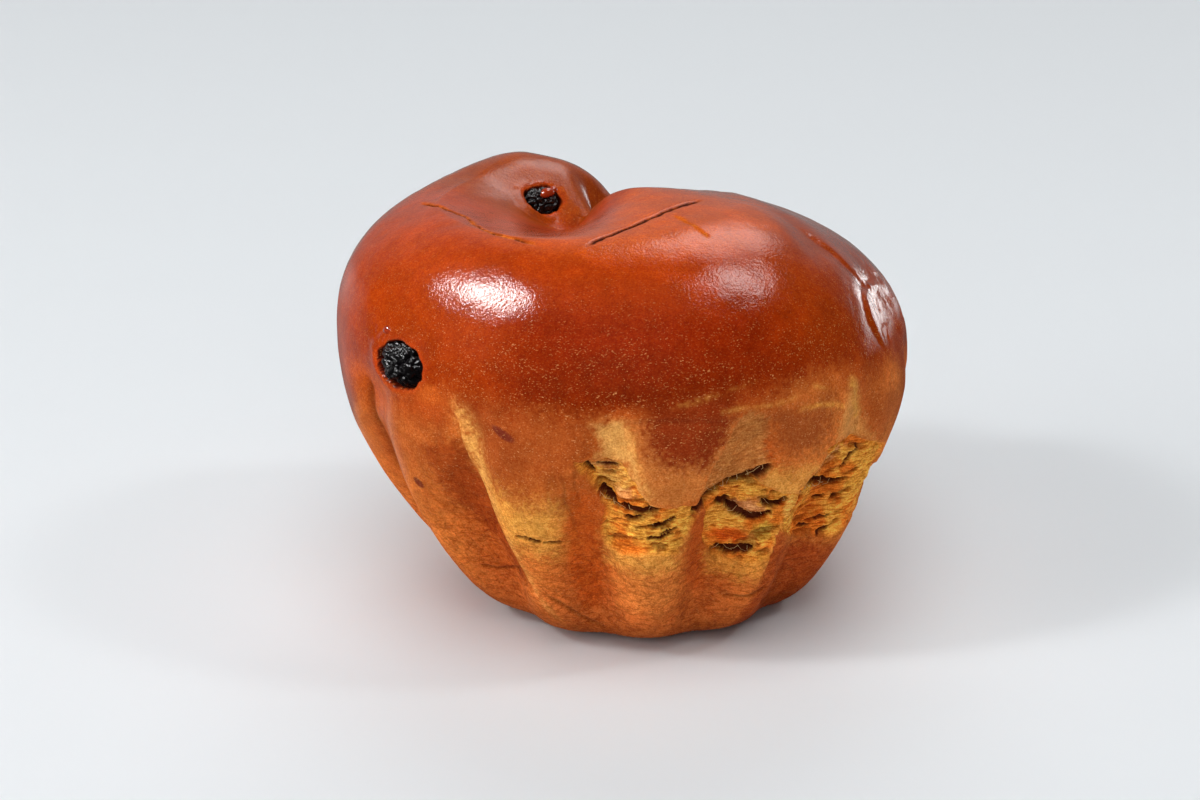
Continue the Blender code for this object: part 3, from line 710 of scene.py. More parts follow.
# Painted areas on the belly: colour, strength, softness of the edge in mm, outline.
PATCHES = (
    (tone(204, 104, 42), 0.7, 3.0, ((-62, 50), (-48, 52), (-44, 42), (-48, 28), (-56, 26), (-60, 34))),
    (tone(168, 68, 22), 0.8, 1.6,
     ((-50, 42), (-41, 46), (-39, 36), (-33, 28), (-28, 16), (-34, 15), (-42, 22), (-48, 30))),
    (tone(168, 76, 28), 0.9, 2.4,
     ((-39, 56), (-10, 56), (-10, 47), (-14, 44), (-15, 40), (-30, 38), (-37, 41))),
    (tone(192, 98, 38), 0.8, 2.6, ((-37, 42), (-14, 43), (-13, 34), (-20, 33), (-34, 34))),
    (tone(240, 166, 72), 0.95, 4.0,
     ((-36, 38), (-28, 35.5), (-20, 36.5), (-16.5, 33), (-18, 24.5), (-31, 26.0), (-35, 31))),
    (tone(208, 92, 28), 0.85, 1.4,
     ((-17.5, 31), (-14, 40), (-11, 37), (-9.5, 30), (-9.5, 26), (-11, 12), (-17, 10), (-18.5, 24))),
    (PALE, 0.9, 1.2,
     ((-9.5, 54), (-8, 49), (-9, 46.5), (-3, 46), (-1, 42), (1, 38.5), (3, 37.5), (2.4, 39), (-0.2, 44),
      (-0.8, 50), (-2.2, 54.7), (-5, 55))),
    (tone(204, 118, 54), 0.92, 1.0,
     ((-1.6, 54.9), (14.4, 54.9), (22, 54.5), (15.6, 46), (12.8, 38.4), (8, 37.4), (3.4, 37.8), (0.4, 42))),
    (PANEL, 0.97, 2.6,
     ((0.2, 61), (14.4, 61), (22, 59), (17.8, 49.5), (12.8, 45.6), (5.6, 46.0), (1.4, 49))),
    (tone(204, 132, 68), 0.9, 0.8,
     ((22.6, 55.2), (27.4, 54), (27.3, 48.5), (28.4, 43.4), (21.8, 39.9), (13.6, 39), (15.6, 45.9))),
    (tone(162, 78, 34), 0.85, 3.0,
     ((27.6, 55.6), (35.3, 55.4), (43.5, 54.8), (43, 47.5), (39, 44.5), (29, 46.5))),
    (tone(234, 162, 74), 0.85, 1.8,
     ((28.6, 43), (41, 41), (42.6, 43), (38, 38.6), (36, 37.1), (33, 35.7), (27, 37.5), (25.4, 40.6))),
    (tone(200, 90, 32), 0.8, 1.2, ((10.8, 33), (15.8, 36), (16.4, 27), (18, 14), (13.6, 14), (11, 24))),
    (tone(224, 130, 58), 0.7, 2.4, ((-8, 26), (9, 26), (10, 18), (6, 10), (-6, 12))),
    (tone(236, 160, 70), 0.9, 2.4, ((-9, 29), (10, 29), (9, 22.5), (-8, 22.5))),
    (tone(232, 152, 62), 0.9, 2.2, ((17, 25), (33, 25), (31.5, 18), (27, 17), (18.6, 18.5))),
    (tone(180, 78, 31), 0.85, 1.2,
     ((34.2, 27), (40, 24), (49, 21), (58, 18), (64, 14), (60, 2), (30, 2), (31.6, 16))),
    (tone(214, 122, 50), 0.8, 2.0,
     ((36, 28), (48, 24.5), (58, 23), (66, 24), (60, 18), (48, 19.5), (37, 24))),
    (PALE, 0.6, 1.4, ((46, 49), (49.0, 56), (51, 56), (52, 51), (56, 46), (60, 40), (50, 43), (45, 46))),
    (tone(160, 76, 32), 0.6, 3.0, ((56, 52), (70, 50), (72, 40), (60, 40), (54, 46))),
)

# Pale crests and golden edges: colour, strength, half width in mm, line. The golden lines along the
# raised ribs and the ledge are partly the crust's colour, partly painted highlight.
PALE_LINES = (
    (CREST, 0.95, 1.9,
     ((-43, 55), (-40.0, 52.7), (-38.6, 48.6), (-37.4, 43.3), (-36.6, 35.8), (-32.6, 29.4))),
    (CREST, 0.5, 1.0, ((-32.6, 29.4), (-29.2, 21.8), (-26.4, 12.5), (-24, 5))),
    (CREST, 0.55, 0.8, ((33.0, 37.2), (36.2, 36.2), (36.8, 33.4), (34.2, 31), (32, 27), (31.6, 22))),
    (CREST, 0.40, 0.6, ((-1.6, 54.6), (-1.2, 50), (-0.4, 46.2), (1.0, 42), (3, 39.4))),
    (GOLD, 0.7, 0.45, ((33.6, 53.9), (40.6, 53), (47.6, 51))),
    (GOLD, 0.8, 0.9, ((49.2, 57.5), (50.0, 54), (51.4, 50.3), (54.2, 46.2))),
    (GOLD, 0.6, 0.4, ((38, 57.9), (42.4, 55.5))),
    (tone(196, 92, 32), 0.55, 0.6,
     ((-24, 55.6), (-16, 55), (-8.6, 54.2), (-5.8, 55.3), (-1.4, 55.9), (4.6, 56.6))),
    (GOLD, 0.45, 0.5, ((6, 57), (14.4, 58.2), (22, 60), (28, 61))),
    (GOLD, 0.35, 0.5, ((16, 55.4), (22, 56), (29, 55.4), (36, 56.4))),
)

# Painted light over the glaze: lighter orange patches at the left, beside the side raisin and on the band,
# where the light from the left falls. Colour, strength, turn, height, half sizes.
PAINTED_GLOWS = (
    (tone(188, 78, 23), 0.8, -48.5, 51.5, 8.0, 4.5),
    (tone(214, 108, 36), 0.35, -46.8, 53.8, 3.2, 2.2),
    (tone(206, 90, 26), 0.6, -68.0, 50.0, 8.0, 5.0),
)

# Patches of the torn crumb with a colour of their own: colour, strength, turn, height, half sizes.
CRUMB_SPOTS = (
    (tone(226, 176, 92), 0.75, -5.6, 41.8, 3.6, 3.0),
    (FILM, 0.60, -8.2, 44.6, 3.0, 1.2),
    (FILM, 0.55, -3.0, 38.6, 2.6, 1.2),
    (FILM, 0.80, 24.8, 32.8, 3.6, 1.9),
    (FILM, 0.70, 46.5, 38.8, 5.5, 2.2),
    (tone(222, 104, 30), 0.85, -13.5, 31.6, 3.0, 3.6),
    (tone(214, 88, 24), 0.8, 23.0, 26.8, 3.8, 2.2),
    (tone(206, 168, 66), 0.8, 29.2, 28.4, 2.2, 2.2),
    (tone(255, 206, 104), 0.7, 34.6, 33.8, 1.4, 3.0),
    (tone(220, 104, 30), 0.8, 39.4, 33.0, 2.4, 2.2),
    (tone(170, 96, 42), 0.6, 46.0, 36.0, 4.0, 1.4),
)

# Raisins that lie just under the skin and show as dark marks: turn, height, half sizes, tilt.
MARKS = ((-29, 49.9, 2.6, 0.95, -0.35), (-54.5, 33.6, 1.2, 0.9, -0.6))

# Where the glaze ends round the loaf: turns, heights and softness of the edge in mm.
LEDGE_TURNS = (-180, -120, -90, -60, -42, -30, -17, -6, 5, 15, 29, 36, 44, 60, 90, 130, 180)
LEDGE_HEIGHTS = (52, 50, 44, 50, 54, 54.5, 55, 55.5, 57, 57.5, 56.8, 57.6, 57.8, 55, 50, 51, 52)
LEDGE_SOFTNESS = (3, 3, 6, 7, 5.5, 4.0, 3.2, 2.6, 3.4, 3.6, 3.8, 4.4, 5, 4, 3, 3, 3)
LIGHT_GAIN = 1.05
# Tints of painted shade: for the crumb between its strands, and for the stretched skin between its fibres.
CRUMB_SHADE = np.array([0.62, 0.32, 0.18])
STREAK_SHADE = np.array([0.62, 0.50, 0.45])


def blend(colour, other, share):
    """One colour carried towards another by a share for each point."""
    return colour + (other - colour) * share[..., None]


def belly_colour(turn, place, ragged, specks, looks):
    """The matt crust under the glaze: flutes, panels, painted areas and pale lines."""
    z, (blotch, grit, dust) = looks["z"], specks
    valley = valley_at(turn, z / 1000)
    colour = blend(RIDGE + 0 * place, VALLEY, np.clip(valley * 0.9 + 0.3 * blotch, 0, 1))
    colour = blend(colour, FOOT, ease(20, 6, z) * 0.8)
    offside = 1 - ease(0.32, 0.62, valley + 0.12 * blotch + 0.4 * ease(46, 34, z))
    colour = blend(colour, PANEL, 0.8 * offside * ease(34, 41, z) * (1 - in_front(turn)))
    for patch, strength, soft, corners in PATCHES:
        edge = inside(*ragged, corners) + 0.7 * soft * dust
        colour = blend(colour, patch, strength * ease(-soft, soft, edge))
    broken = np.clip(0.85 + 0.6 * dust + 0.5 * grit, 0, 1.2)
    for pale, strength, half, points in PALE_LINES:
        off, along = trace(ragged[0], z + 0.5 * blotch, chain(points, (MM_PER_DEGREE, 1)))
        strength = strength * np.exp(-(off / half) ** 2) * taper(along, 0.15) * broken
        colour = blend(colour, pale, np.clip(strength, 0, 1))
    return colour


def dome_colour(degrees, share, place, z):
    """The egg-glazed dome: lighter on top and at the left as painted light, darker towards the ledge in
    front as baked colour and painted shade.
    """
    reach_left = ease(-15, -60, degrees) * (degrees > -150)
    reach_right = ease(15, 65, degrees) * (degrees < 150)
    # Where the darker slope and band reach, most in front: partly the crust baked darker, partly painted
    # shade.
    shaded = 0.25 + 0.75 * ease(-38, -14, degrees) * ease(46, 24, degrees)
    # Painted light: the dome is lighter at the left, where the light falls, than at the right.
    colour = blend(DOME_MIDDLE + 0 * place, DOME_LEFT, reach_left)
    colour = blend(colour, DOME_RIGHT, reach_right)
    colour = blend(colour, DOME_SLOPE, ease(79, 69, z) * shaded)
    colour = blend(colour, DOME_BAND, ease(68, 59, z) * shaded)
    # Painted light: the top of the dome is lighter, where light and sheen fall from above.
    colour = blend(colour, LIT_DOME_TOP, 0.85 * ease(78.0, 80.8, z) * (share < 0.93) * (1 - 0.4 * reach_right))
    from_bun = np.hypot((place[..., 0] - BUN_X - SHIFT_X) / BUN_LEFT,
                        (place[..., 1] - BUN_Y - SHIFT_Y) / BUN_FRONT)
    return blend(colour, BUN_TOP, 0.85 * ease(1.25, 0.75, from_bun) * ease(66, 72, z))


def crumb_colour(place, ragged, grit, looks):
    """The torn crumb: yellow and orange, with painted shade between its strands and in its pockets."""
    yellow = ease(-0.55, 0.25, lumps(place, 0.0034, 92) + 0.4 * grit)
    colour = blend(CRUMB_ORANGE + 0 * place, CRUMB, yellow)
    for spot_colour, strength, *spot in CRUMB_SPOTS:
        off = off_spot(*ragged, *spot)
        colour = blend(colour, spot_colour, strength * ease(1.25, 0.6, off + 0.25 * grit))
    # Painted shade between the strands, and in the pockets.
    colour = blend(colour * CRUMB_SHADE, colour, ease(0.04, 0.34, looks["strand"]))
    return blend(colour, HOLLOW_SHADE, looks["pocket"] * 0.5)


def paint(turn, share, place, looks, nearness):
    """Colour of the skin, how glazed it is and how much it is flecked, point by point."""
    u, z, lines = looks["u"], looks["z"], looks["lines"]
    degrees = np.degrees(turn)
    blotch = lumps(place, 0.0075, 81) * 0.6 + lumps(place, 0.0030, 82) * 0.4
    grit, dust = lumps(place, 0.0009, 83), lumps(place, 0.00045, 84)
    ragged = (u + 0.8 * blotch + 0.5 * grit,
              z + 0.8 * lumps(place, 0.0052, 85) + 0.5 * lumps(place, 0.0010, 86))

    ledge = np.interp(degrees, LEDGE_TURNS, LEDGE_HEIGHTS) + 1.6 * blotch + 0.7 * grit + 1.1 * dust
    run = np.interp(degrees, LEDGE_TURNS, LEDGE_SOFTNESS)
    glazed = ease(-run, run, z - ledge)
    belly = belly_colour(turn, place, ragged, (blotch, grit, dust), looks)
    colour = blend(belly, dome_colour(degrees, share, place, z), glazed)
    # Painted light: lighter patches over the glaze at the left.
    for glow, strength, *spot in PAINTED_GLOWS:
        colour = blend(colour, glow, strength * ease(1.3, 0.4, off_spot(*ragged, *spot) + 0.2 * dust))

    flakes = ease(0.0, 0.5, grit + 0.6 * dust)
    colour = blend(colour, FLAKE, lines["flaky"] * (0.35 + 0.4 * flakes))
    # Painted shade: a dark line down the middle of the flaky and the dark cracks over the dome.
    colour = blend(colour, CRACK_SHADE, lines["flaky"] ** 3 * (1 - flakes) * 0.9)
    colour = blend(colour, CRACK_SHADE, np.clip(lines["dark"] * 1.5, 0, 1) ** 2)
    colour = blend(colour, FLAKE, lines["pale"] * (0.3 + 0.5 * flakes))
    for spot in MARKS:
        colour = blend(colour, MARK, 0.85 * ease(1.25, 0.75, off_spot(u, z, *spot) + 0.1 * blotch))
    colour = blend(colour, PIT_RING, np.clip(nearness * 2, 0, 1) * (0.45 + 0.35 * flakes))
    colour = blend(colour, PIT_WALL, ease(0.55, 0.9, nearness))

    torn = np.maximum(looks["torn"], looks["far"] * 0.8)
    colour = blend(colour, crumb_colour(place, ragged, grit, looks), torn * 0.96)
    # Painted shade between the drawn fibres of the stretched skin.
    streaks = looks["stretched"] * (1 - looks["fine"] ** 3)
    colour = blend(colour, colour * STREAK_SHADE, streaks * 0.6)
    # Painted shade in the fine wrinkles and in the creases.
    colour = blend(colour, colour * 0.5, np.clip(looks["wrinkle"], 0, 1) * 0.7)
    colour = blend(colour, colour * 0.55, np.clip(looks["crease"], 0, 1))
    # Painted shade: the gashes' hollows are painted dark.
    colour = blend(colour, HOLLOW_SHADE, np.clip(looks["hollow"] * 2.2, 0, 1))
    # Painted shade darkens the crust near the floor, and painted light brightens the low belly above it.
    low_light_and_shade = 1 - 0.26 * ease(11, 3, z) + 0.10 * ease(27, 21, z) * ease(9, 14, z)
    colour = colour * ((1 + 0.10 * blotch) * low_light_and_shade)[..., None] * LIGHT_GAIN

    gloss = glazed * (0.25 + 0.75 * ease(55, 66, z))
    left_glaze = ease(-50, -62, degrees) * (degrees > -135) * ease(22, 36, z)
    gloss = np.maximum(gloss, 0.72 * left_glaze) * (1 - looks["top_line"]) * (1 - torn)
    gloss = gloss * (1 - 0.42 * ease(0.88, 0.95, share))
    flecks = 0.34 + 0.50 * ease(72, 62, z) * ease(26, 40, z) * ease(-75, -40, degrees)
    flecks = flecks * (1 - 0.5 * ease(72, 79, z)) * (1 - torn) * (1 - np.clip(looks["hollow"] * 2, 0, 1))
    return np.clip(colour, 0.001, 1.0), gloss, flecks


# The loaf's skin as it is baked: one crust round the whole loaf, its columns closer together in
# front, and three finer sheets over the torn belly, the wrinkled flutes at the left and the top of
# the dome. Under a sheet the crust sinks, and the two meet just inside the sheet's edge.
COLUMNS, ROWS = 470, 210
DENSE_TURN, DENSE_PULL = math.radians(-5.0), 0.45
ROW_LEVELS = (0, 0.03, 0.09, 0.20, 0.50, 0.82, 1)
ROW_SHARES = (0, FOOT_SHARE, 0.14, 0.25, 0.52, CREST_SHARE, 1)
SEAM_EDGE, SEAM_MERGE = 0.001, 2e-6
SHEETS = {
    "torn_belly": ("crumb", (-27.0, 72.0), (0.215, 0.585), 412, 236),
    "left_flutes": ("crust", (-72.0, -27.0), (0.135, 0.615), 196, 250),
    "dome_top": ("crust", (-122.0, 88.0), (0.625, 0.965), 440, 200),
}
SHEET_MARGIN_TURN, SHEET_MARGIN_SHARE, MM_PER_SHARE = 3.6, 0.024, 130.0
LOAF_SINK, LOAF_SINK_RUN = 3.0, 5.0
SHEET_SINK, SHEET_SINK_RUN = 0.8, 2.6


def within_sheet(name, turn, share):
    """How far inside a sheet's border a point lies, in mm; below zero outside."""
    _, (left, right), (low, high), _, _ = SHEETS[name]
    degrees = np.degrees(turn)
    across = np.minimum(degrees - left, right - degrees) * MM_PER_DEGREE
    return np.minimum(across, np.minimum(share - low, high - share) * MM_PER_SHARE)


def skin(turn, share, sheet=None):
    """Places, colours and gloss of the loaf's skin, for a sheet or for the loaf under the sheets."""
    place = dough_form(turn, share)
    depth, looks = relief(turn, share, place)
    well, nearness = pits(place)
    depth = depth + well
    colour, gloss, flecks = paint(turn, share, place, looks, nearness)
    colour = np.concatenate([colour, flecks[..., None]], axis=-1)
    if sheet:
        depth = depth + SHEET_SINK * np.clip(-within_sheet(sheet, turn, share) / SHEET_SINK_RUN, 0, 1) ** 2
    else:
        for name in SHEETS:
            depth = depth + LOAF_SINK * np.clip(within_sheet(name, turn, share) / LOAF_SINK_RUN, 0, 1) ** 2
    moved = place - outward(turn, share) * (depth * 0.001 * (share > FOOT_SHARE))[..., None]
    moved[..., 2] = np.maximum(moved[..., 2], 0)
    return moved, colour, gloss, np.maximum(looks["torn"], 0.55 * looks["stretched"])


def lay_skin(shape, turn, share, sheet=None):
    """Move a bmesh's vertices onto the skin, and paint them."""
    places, colours, gloss, torn = skin(turn, share, sheet)
    paint_layer = shape.verts.layers.float_color.new("paint")
    gloss_layer = shape.verts.layers.float.new("gloss")
    torn_layer = shape.verts.layers.float.new("torn")
    for vertex, place, colour, shine, pulled in zip(shape.verts, places, colours, gloss, torn):
        vertex.co = place
        vertex[paint_layer] = colour
        vertex[gloss_layer] = shine
        vertex[torn_layer] = pulled


def grid_places(shape, columns, rows):
    """Start a bmesh from a flat grid, and give each vertex's place across and up it, from 0 to 1."""
    bmesh.ops.create_grid(shape, x_segments=columns, y_segments=rows, size=1.0)
    flat = np.array([vertex.co[:2] for vertex in shape.verts])
    return flat[:, 0] * 0.5 + 0.5, flat[:, 1] * 0.5 + 0.5


shape = bmesh.new()
across, level = grid_places(shape, COLUMNS, ROWS)
even_turn = (across * 2 - 1) * math.pi
turn = even_turn - DENSE_PULL * (np.sin(even_turn - DENSE_TURN) + math.sin(DENSE_TURN))
share = np.interp(level, ROW_LEVELS, ROW_SHARES)
lay_skin(shape, turn, share)
from_edge = np.minimum(np.minimum(across, 1 - across), np.minimum(level, 1 - level))
seam = [vertex for vertex, edge in zip(shape.verts, from_edge) if edge < SEAM_EDGE]
bmesh.ops.remove_doubles(shape, verts=seam, dist=SEAM_MERGE)
skins = [new_piece("crusted_loaf", shape, "crust", ["loaf"])]

for name, (slot, (left, right), (low, high), columns, rows) in SHEETS.items():
    shape = bmesh.new()
    across, level = grid_places(shape, columns, rows)
    left, right = left - SHEET_MARGIN_TURN, right + SHEET_MARGIN_TURN
    low, high = low - SHEET_MARGIN_SHARE, high + SHEET_MARGIN_SHARE
    turn = np.radians(left + (right - left) * across)
    share = low + (high - low) * level
    lay_skin(shape, turn, share, name)
    skins.append(new_piece(name, shape, slot, ["loaf"]))

# The crust's finish over the painted colours: toasted grain, pale pores, a network of fine folds low
# on the matt flutes with painted shade along them, drawn strands where it is torn with painted shade
# and highlight across them, and a coat of egg glaze where it is glossy.
# Tints are pairs, for the darkest and the palest grains.
GRAIN_TINTS = (0.88, 0.74, 0.64, 1.0), (1.12, 1.22, 1.30, 1.0)
CLOUD_TINTS = (0.93, 0.86, 0.80, 1.0), (1.06, 1.12, 1.16, 1.0)
STRAND_SHADE_AND_LIGHT = (0.78, 0.52, 0.36, 1.0), (1.26, 1.34, 1.30, 1.0)
FOLD_SHADE, FLECK_COLOUR = (0.68, 0.52, 0.42, 1.0), (0.84, 0.40, 0.13, 1.0)
CRUST_VALUES = {"Specular IOR Level": 0.03, "Coat IOR": 1.5, "Coat Roughness": 0.10}
CRUST_BUMP = 0.0003


def noise(tree, where, scale, detail=2.0, rough=0.5):
    """Fine lumps from 0 to 1, about that many to a metre."""
    inputs = {"Vector": where, "Scale": scale, "Detail": detail, "Roughness": rough}
    return add_node(tree, "TexNoise", inputs).outputs["Fac"]


def add_bump(tree, shader, height, strength, distance):
    """Fine relief in a finish, in its coat too."""
    bump = add_node(tree, "Bump", {"Height": height, "Strength": strength, "Distance": distance})
    for normal in ("Normal", "Coat Normal"):
        tree.links.new(bump.outputs["Normal"], shader.inputs[normal])


def crust_finish():
    """Baked crust, with torn crumb and egg glaze where the skin's attributes say."""
    finish, tree, shader = principled("baked_crust", CRUST_VALUES)
    where = add_node(tree, "TexCoord").outputs["Object"]
    painted = add_node(tree, "Attribute", attribute_name="paint").outputs
    shine = add_node(tree, "Attribute", attribute_name="gloss").outputs["Fac"]
    pulled = add_node(tree, "Attribute", attribute_name="torn").outputs["Fac"]

    def turned(rotation, scale):
        inputs = {"Vector": where, "Rotation": rotation, "Scale": scale}
        return add_node(tree, "Mapping", inputs).outputs["Vector"]

    def mixed(kind, factor, first, second):
        inputs = {"Factor": factor, "A": first, "B": second}
        node = add_node(tree, "Mix", inputs, data_type="RGBA", blend_type=kind)
        return next(socket for socket in node.outputs if socket.enabled)

    def math_node(kind, first, *others):
        for other in others:
            node = add_node(tree, "Math", operation=kind)
            tree.links.new(first, node.inputs[0])
            if isinstance(other, float):
                node.inputs[1].default_value = other
            else:
                tree.links.new(other, node.inputs[1])
            first = node.outputs[0]
        return first

    def tinted(source, low, high, tints):
        return mixed("MIX", remapped(tree, source, low, high, 0.0, 1.0), *tints)

    grain = noise(tree, where, 3000.0, 2.0, 0.6)
    cloud = noise(tree, where, 950.0, 3.0, 0.6)
    stain = noise(tree, where, 240.0, 3.0, 0.55)
    peel = noise(tree, where, 420.0, 1.0, 0.5)
    pores = noise(tree, where, 1800.0, 1.0, 0.5)
    strands = noise(tree, turned((0, FIBRE_RISE, 0), (0.16, 0.16, 1.0)), 3000.0, 2.0, 0.6)
    shaded = mixed("MULTIPLY", 1.0, painted["Color"], tinted(grain, 0.38, 0.62, GRAIN_TINTS))
    shaded = mixed("MULTIPLY", 1.0, shaded, tinted(cloud, 0.36, 0.64, CLOUD_TINTS))
    shaded = mixed("MULTIPLY", 1.0, shaded, remapped(tree, stain, 0.35, 0.65, 0.90, 1.10))
    # Painted shade and highlight along the drawn strands of the torn crumb.
    shaded = mixed("MULTIPLY", pulled, shaded, tinted(strands, 0.36, 0.62, STRAND_SHADE_AND_LIGHT))

    slack = noise(tree, turned((0.12, 0.16, 0), (0.55, 0.55, 1.25)), 430.0, 4.0, 0.62)
    off_line = math_node("ABSOLUTE", math_node("SUBTRACT", slack, 0.5), 0.0)
    line = remapped(tree, off_line, 0.0, 0.045, 1.0, 0.0)
    height = add_node(tree, "SeparateXYZ", {"Vector": where}).outputs["Z"]
    low_down = remapped(tree, height, 0.044, 0.022, 0.18, 1.0)
    matt = remapped(tree, shine, 0.0, 0.4, 1.0, 0.0)
    whole = remapped(tree, pulled, 0.0, 0.5, 1.0, 0.0)
    folded = math_node("MULTIPLY", line, low_down, matt, whole)
    # Painted shade along the fine folds.
    shaded = mixed("MULTIPLY", math_node("MULTIPLY", folded, 0.75), shaded, FOLD_SHADE)

    dashes = turned((0.4, 0.9, 0.3), (0.7, 1.0, 1.25))
    specks = remapped(tree, noise(tree, dashes, 3300.0), 0.59, 0.74, 0.0, 0.9)
    spread = remapped(tree, noise(tree, dashes, 500.0, 1.0), 0.35, 0.62, 0.15, 1.0)
    few = math_node("MULTIPLY", specks, spread, painted["Alpha"])
    tree.links.new(mixed("MIX", few, shaded, FLECK_COLOUR), shader.inputs["Base Color"])
    tree.links.new(remapped(tree, shine, 0.0, 1.0, 0.65, 0.40), shader.inputs["Roughness"])
    tree.links.new(remapped(tree, shine, 0.35, 1.0, 0.0, 0.95), shader.inputs["Coat Weight"])
    relief_height = mixed("MIX", 0.30, mixed("MIX", 0.55, grain, pores), peel)
    relief_height = mixed("MIX", pulled, relief_height, strands)
    relief_height = mixed("MIX", math_node("MULTIPLY", folded, 0.85), relief_height, (0.0, 0.0, 0.0, 1.0))
    add_bump(tree, shader, relief_height, remapped(tree, shine, 0.0, 1.0, 1.0, 0.42), CRUST_BUMP)
    return finish


crust = crust_finish()
for piece in skins:
    piece.data.materials.append(crust)

# The raisins' own skins: dried grapes, black and folded into sharp wrinkles, sticky with glaze. Each
# fills its pit and is held by the dough round it.
RAISIN_TURNS, RAISIN_RINGS = 150, 100
RAISIN_GROWTH = 1.06
RAISIN_SEEDS = {"raisin_side": 210, "raisin_top": 340}
RAISIN_VALUES = {"Base Color": (0.0035, 0.0026, 0.003, 1.0), "Roughness": 0.30, "Specular IOR Level": 0.30,
                 "Coat Weight": 0.55, "Coat Roughness": 0.10}


def wrinkled_ball(seed, columns, rings):
    """A unit ball's bmesh with the places of a shrivelled fruit's skin."""
    shape = bmesh.new()
    bmesh.ops.create_uvsphere(shape, u_segments=columns, v_segments=rings, radius=1.0)
    ball = np.array([vertex.co[:] for vertex in shape.verts])
    bend = np.stack([lumps(ball, 0.75, seed + step) for step in (1, 2, 3)], axis=-1)
    folds = 1 - np.abs(lumps(ball + 0.45 * bend, 0.55, seed + 4))
    small = 1 - np.abs(lumps(ball + 0.25 * bend, 0.24, seed + 5))
    crisp = 1 - np.abs(lumps(ball, 0.11, seed + 6))
    size = 1.05 - 0.22 * folds ** 6 - 0.10 * small ** 6 - 0.06 * crisp ** 4
    size = size + 0.07 * lumps(ball, 0.9, seed + 7)
    return shape, ball * size[:, None]


def raisin(name, seed):
    """One raisin's skin, in place of its plain solid."""
    half_across, half_up, half_out = RAISINS[name][2:5]
    middle, across, up, out = raisin_frame(name)
    shape, places = wrinkled_ball(seed, RAISIN_TURNS, RAISIN_RINGS)
    places = places * (half_across * RAISIN_GROWTH, half_up * RAISIN_GROWTH, half_out)
    for vertex, place in zip(shape.verts, places):
        vertex.co = middle + across * place[0] + up * place[1] + out * place[2]
    return new_piece(name + "_skin", shape, "raisin", [name])


finish, tree, shader = principled("raisin_skin", RAISIN_VALUES)
fine_wrinkles = noise(tree, add_node(tree, "TexCoord").outputs["Object"], 1800.0, 3.0)
add_bump(tree, shader, fine_wrinkles, 0.8, 0.00025)
for name, seed in RAISIN_SEEDS.items():
    raisin(name, seed).data.materials.append(finish)

# Strands of gluten that still span the gashes: hair-thin, pale and slightly slack, fixed at both
# ends in the crumb. For each gash, where they start and stop along it, how many and how long in mm.
STRANDS = (
    ((13.6, 39.6), (27.0, 43.4), 8, 1.9),
    ((-9.2, 39.4), (-4.0, 36.2), 4, 1.8),
    ((-3.0, 36.4), (4.0, 37.2), 2, 1.3),
    ((20.2, 33.4), (29.5, 32.4), 3, 1.6),
    ((27.8, 35.0), (33.4, 35.2), 2, 1.3),
    ((19.6, 23.9), (27.0, 23.9), 5, 1.7),
    ((36.6, 37.0), (53.0, 31.8), 6, 1.8),
    ((1.8, 33.2), (7.8, 34.4), 2, 1.2),
)
STRAND_HALF, STRAND_SIDES, STRAND_POINTS = 0.050, 5, 7
STRAND_VALUES = {"Base Color": (0.62, 0.36, 0.14, 1.0), "Roughness": 0.5, "Specular IOR Level": 0.2}


def skin_point(turn_degrees, height, lift):
    """A place on the plain dough at a turn and a height in mm, lifted off it by some mm."""
    turn = np.array([math.radians(turn_degrees)])
    low, high = FOOT_SHARE, CREST_SHARE
    for _ in range(30):
        middle = (low + high) / 2
        if dough_form(turn, np.array([middle]))[0, 2] * 1000 < height:
            low = middle
        else:
            high = middle
    share = np.array([middle])
    return dough_form(turn, share)[0] + outward(turn, share)[0] * lift / 1000


def strand(shape, spine, half):
    """A thin closed tube along a spine: a disc that is extruded from point to point."""
    frames = []
    for place, ahead in zip(spine, spine[1:] + [spine[-1] * 2 - spine[-2]]):
        run = (ahead - place).normalized()
        side = run.cross(Vector((0, -1, 0.2))).normalized()
        axes = Matrix((run.cross(side), side, run)).transposed()
        frames.append(Matrix.Translation(place) @ axes.to_4x4())
    disc = {"segments": STRAND_SIDES, "radius": half, "cap_ends": True, "matrix": frames[0]}
    tip = bmesh.ops.create_circle(shape, **disc)["verts"][0].link_faces[0]
    for before, after in zip(frames, frames[1:]):
        grown = bmesh.ops.extrude_face_region(shape, geom=[tip, *tip.edges])["geom"]
        ring = [part for part in grown if isinstance(part, bmesh.types.BMVert)]
        bmesh.ops.transform(shape, matrix=after @ before.inverted(), verts=ring)
        tip = next(part for part in grown if isinstance(part, bmesh.types.BMFace))


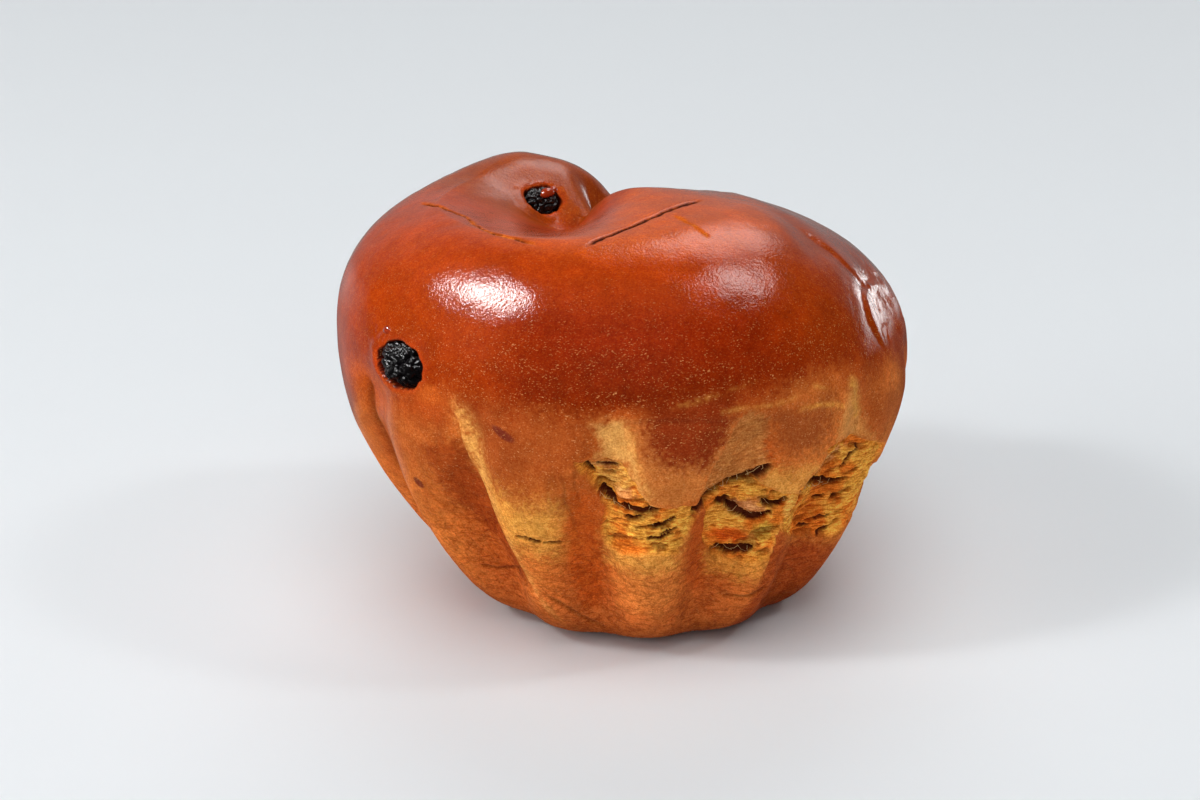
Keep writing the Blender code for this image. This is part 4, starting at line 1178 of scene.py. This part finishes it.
luck = np.random.default_rng(17)
shape = bmesh.new()
for (turn_a, z_a), (turn_b, z_b), count, span in STRANDS:
    for step in range(count):
        along = (step + luck.uniform(0.2, 0.8)) / count
        middle_turn = turn_a + (turn_b - turn_a) * along
        middle_z = z_a + (z_b - z_a) * along
        lean = luck.uniform(-1.8, 1.8)
        reach = span * luck.uniform(0.55, 1.0)
        bow = luck.uniform(-0.5, 0.35)
        spine = []
        for share in np.linspace(-1, 1, STRAND_POINTS):
            turn_degrees = middle_turn + lean * share * reach / MM_PER_DEGREE * 0.5
            sag = -0.9 + bow * (1 - share ** 2) - 0.5 * abs(share)
            spine.append(Vector(skin_point(turn_degrees, middle_z + share * reach * 0.5, sag)))
        strand(shape, spine, STRAND_HALF * luck.uniform(0.6, 1.3) / 1000)
bmesh.ops.recalc_face_normals(shape, faces=shape.faces)
strands = new_piece("crumb_strands", shape, "crumb")
strands.data.materials.append(principled("gluten_strand", STRAND_VALUES)[0])

# Drops of egg glaze that ran together and set beside the raisins: amber, smooth and bright. Each
# one's raisin, place across, up and out from the crust over its middle, and its half sizes.
DROPS = (
    ("raisin_top", (0.0008, 0.0006, 0.001944), (0.0016, 0.0010, 0.0011)),
    ("raisin_top", (0.0026, 0.0010, 0.001944), (0.0009, 0.0007, 0.0006)),
    ("raisin_side", (-0.0049, 0.0052, -0.0007), (0.0012, 0.0008, 0.0006)),
)
DROP_SEGMENTS, DROP_RINGS, DROP_SWELL = 28, 18, 0.12
GLAZE_VALUES = {"Base Color": (0.36, 0.035, 0.008, 1.0), "Roughness": 0.12, "Coat Weight": 1.0,
                "Coat Roughness": 0.05}
shape = bmesh.new()
for name, offset, halves in DROPS:
    middle, across, up, out = raisin_frame(name)
    crust_point = middle + out * RAISINS[name][-1]
    drop = bmesh.ops.create_uvsphere(shape, u_segments=DROP_SEGMENTS, v_segments=DROP_RINGS, radius=1.0)
    for vertex in drop["verts"]:
        x, y, z = vertex.co
        swell = 1 + DROP_SWELL * math.sin(3.0 * x + 2.0 * y)
        place = np.array(offset) + np.array((x * swell, y * swell, z)) * halves
        vertex.co = crust_point + place @ (across, up, out)
drops = new_piece("glaze_drops", shape, "glaze")
drops.data.materials.append(principled("amber_glaze", GLAZE_VALUES)[0])
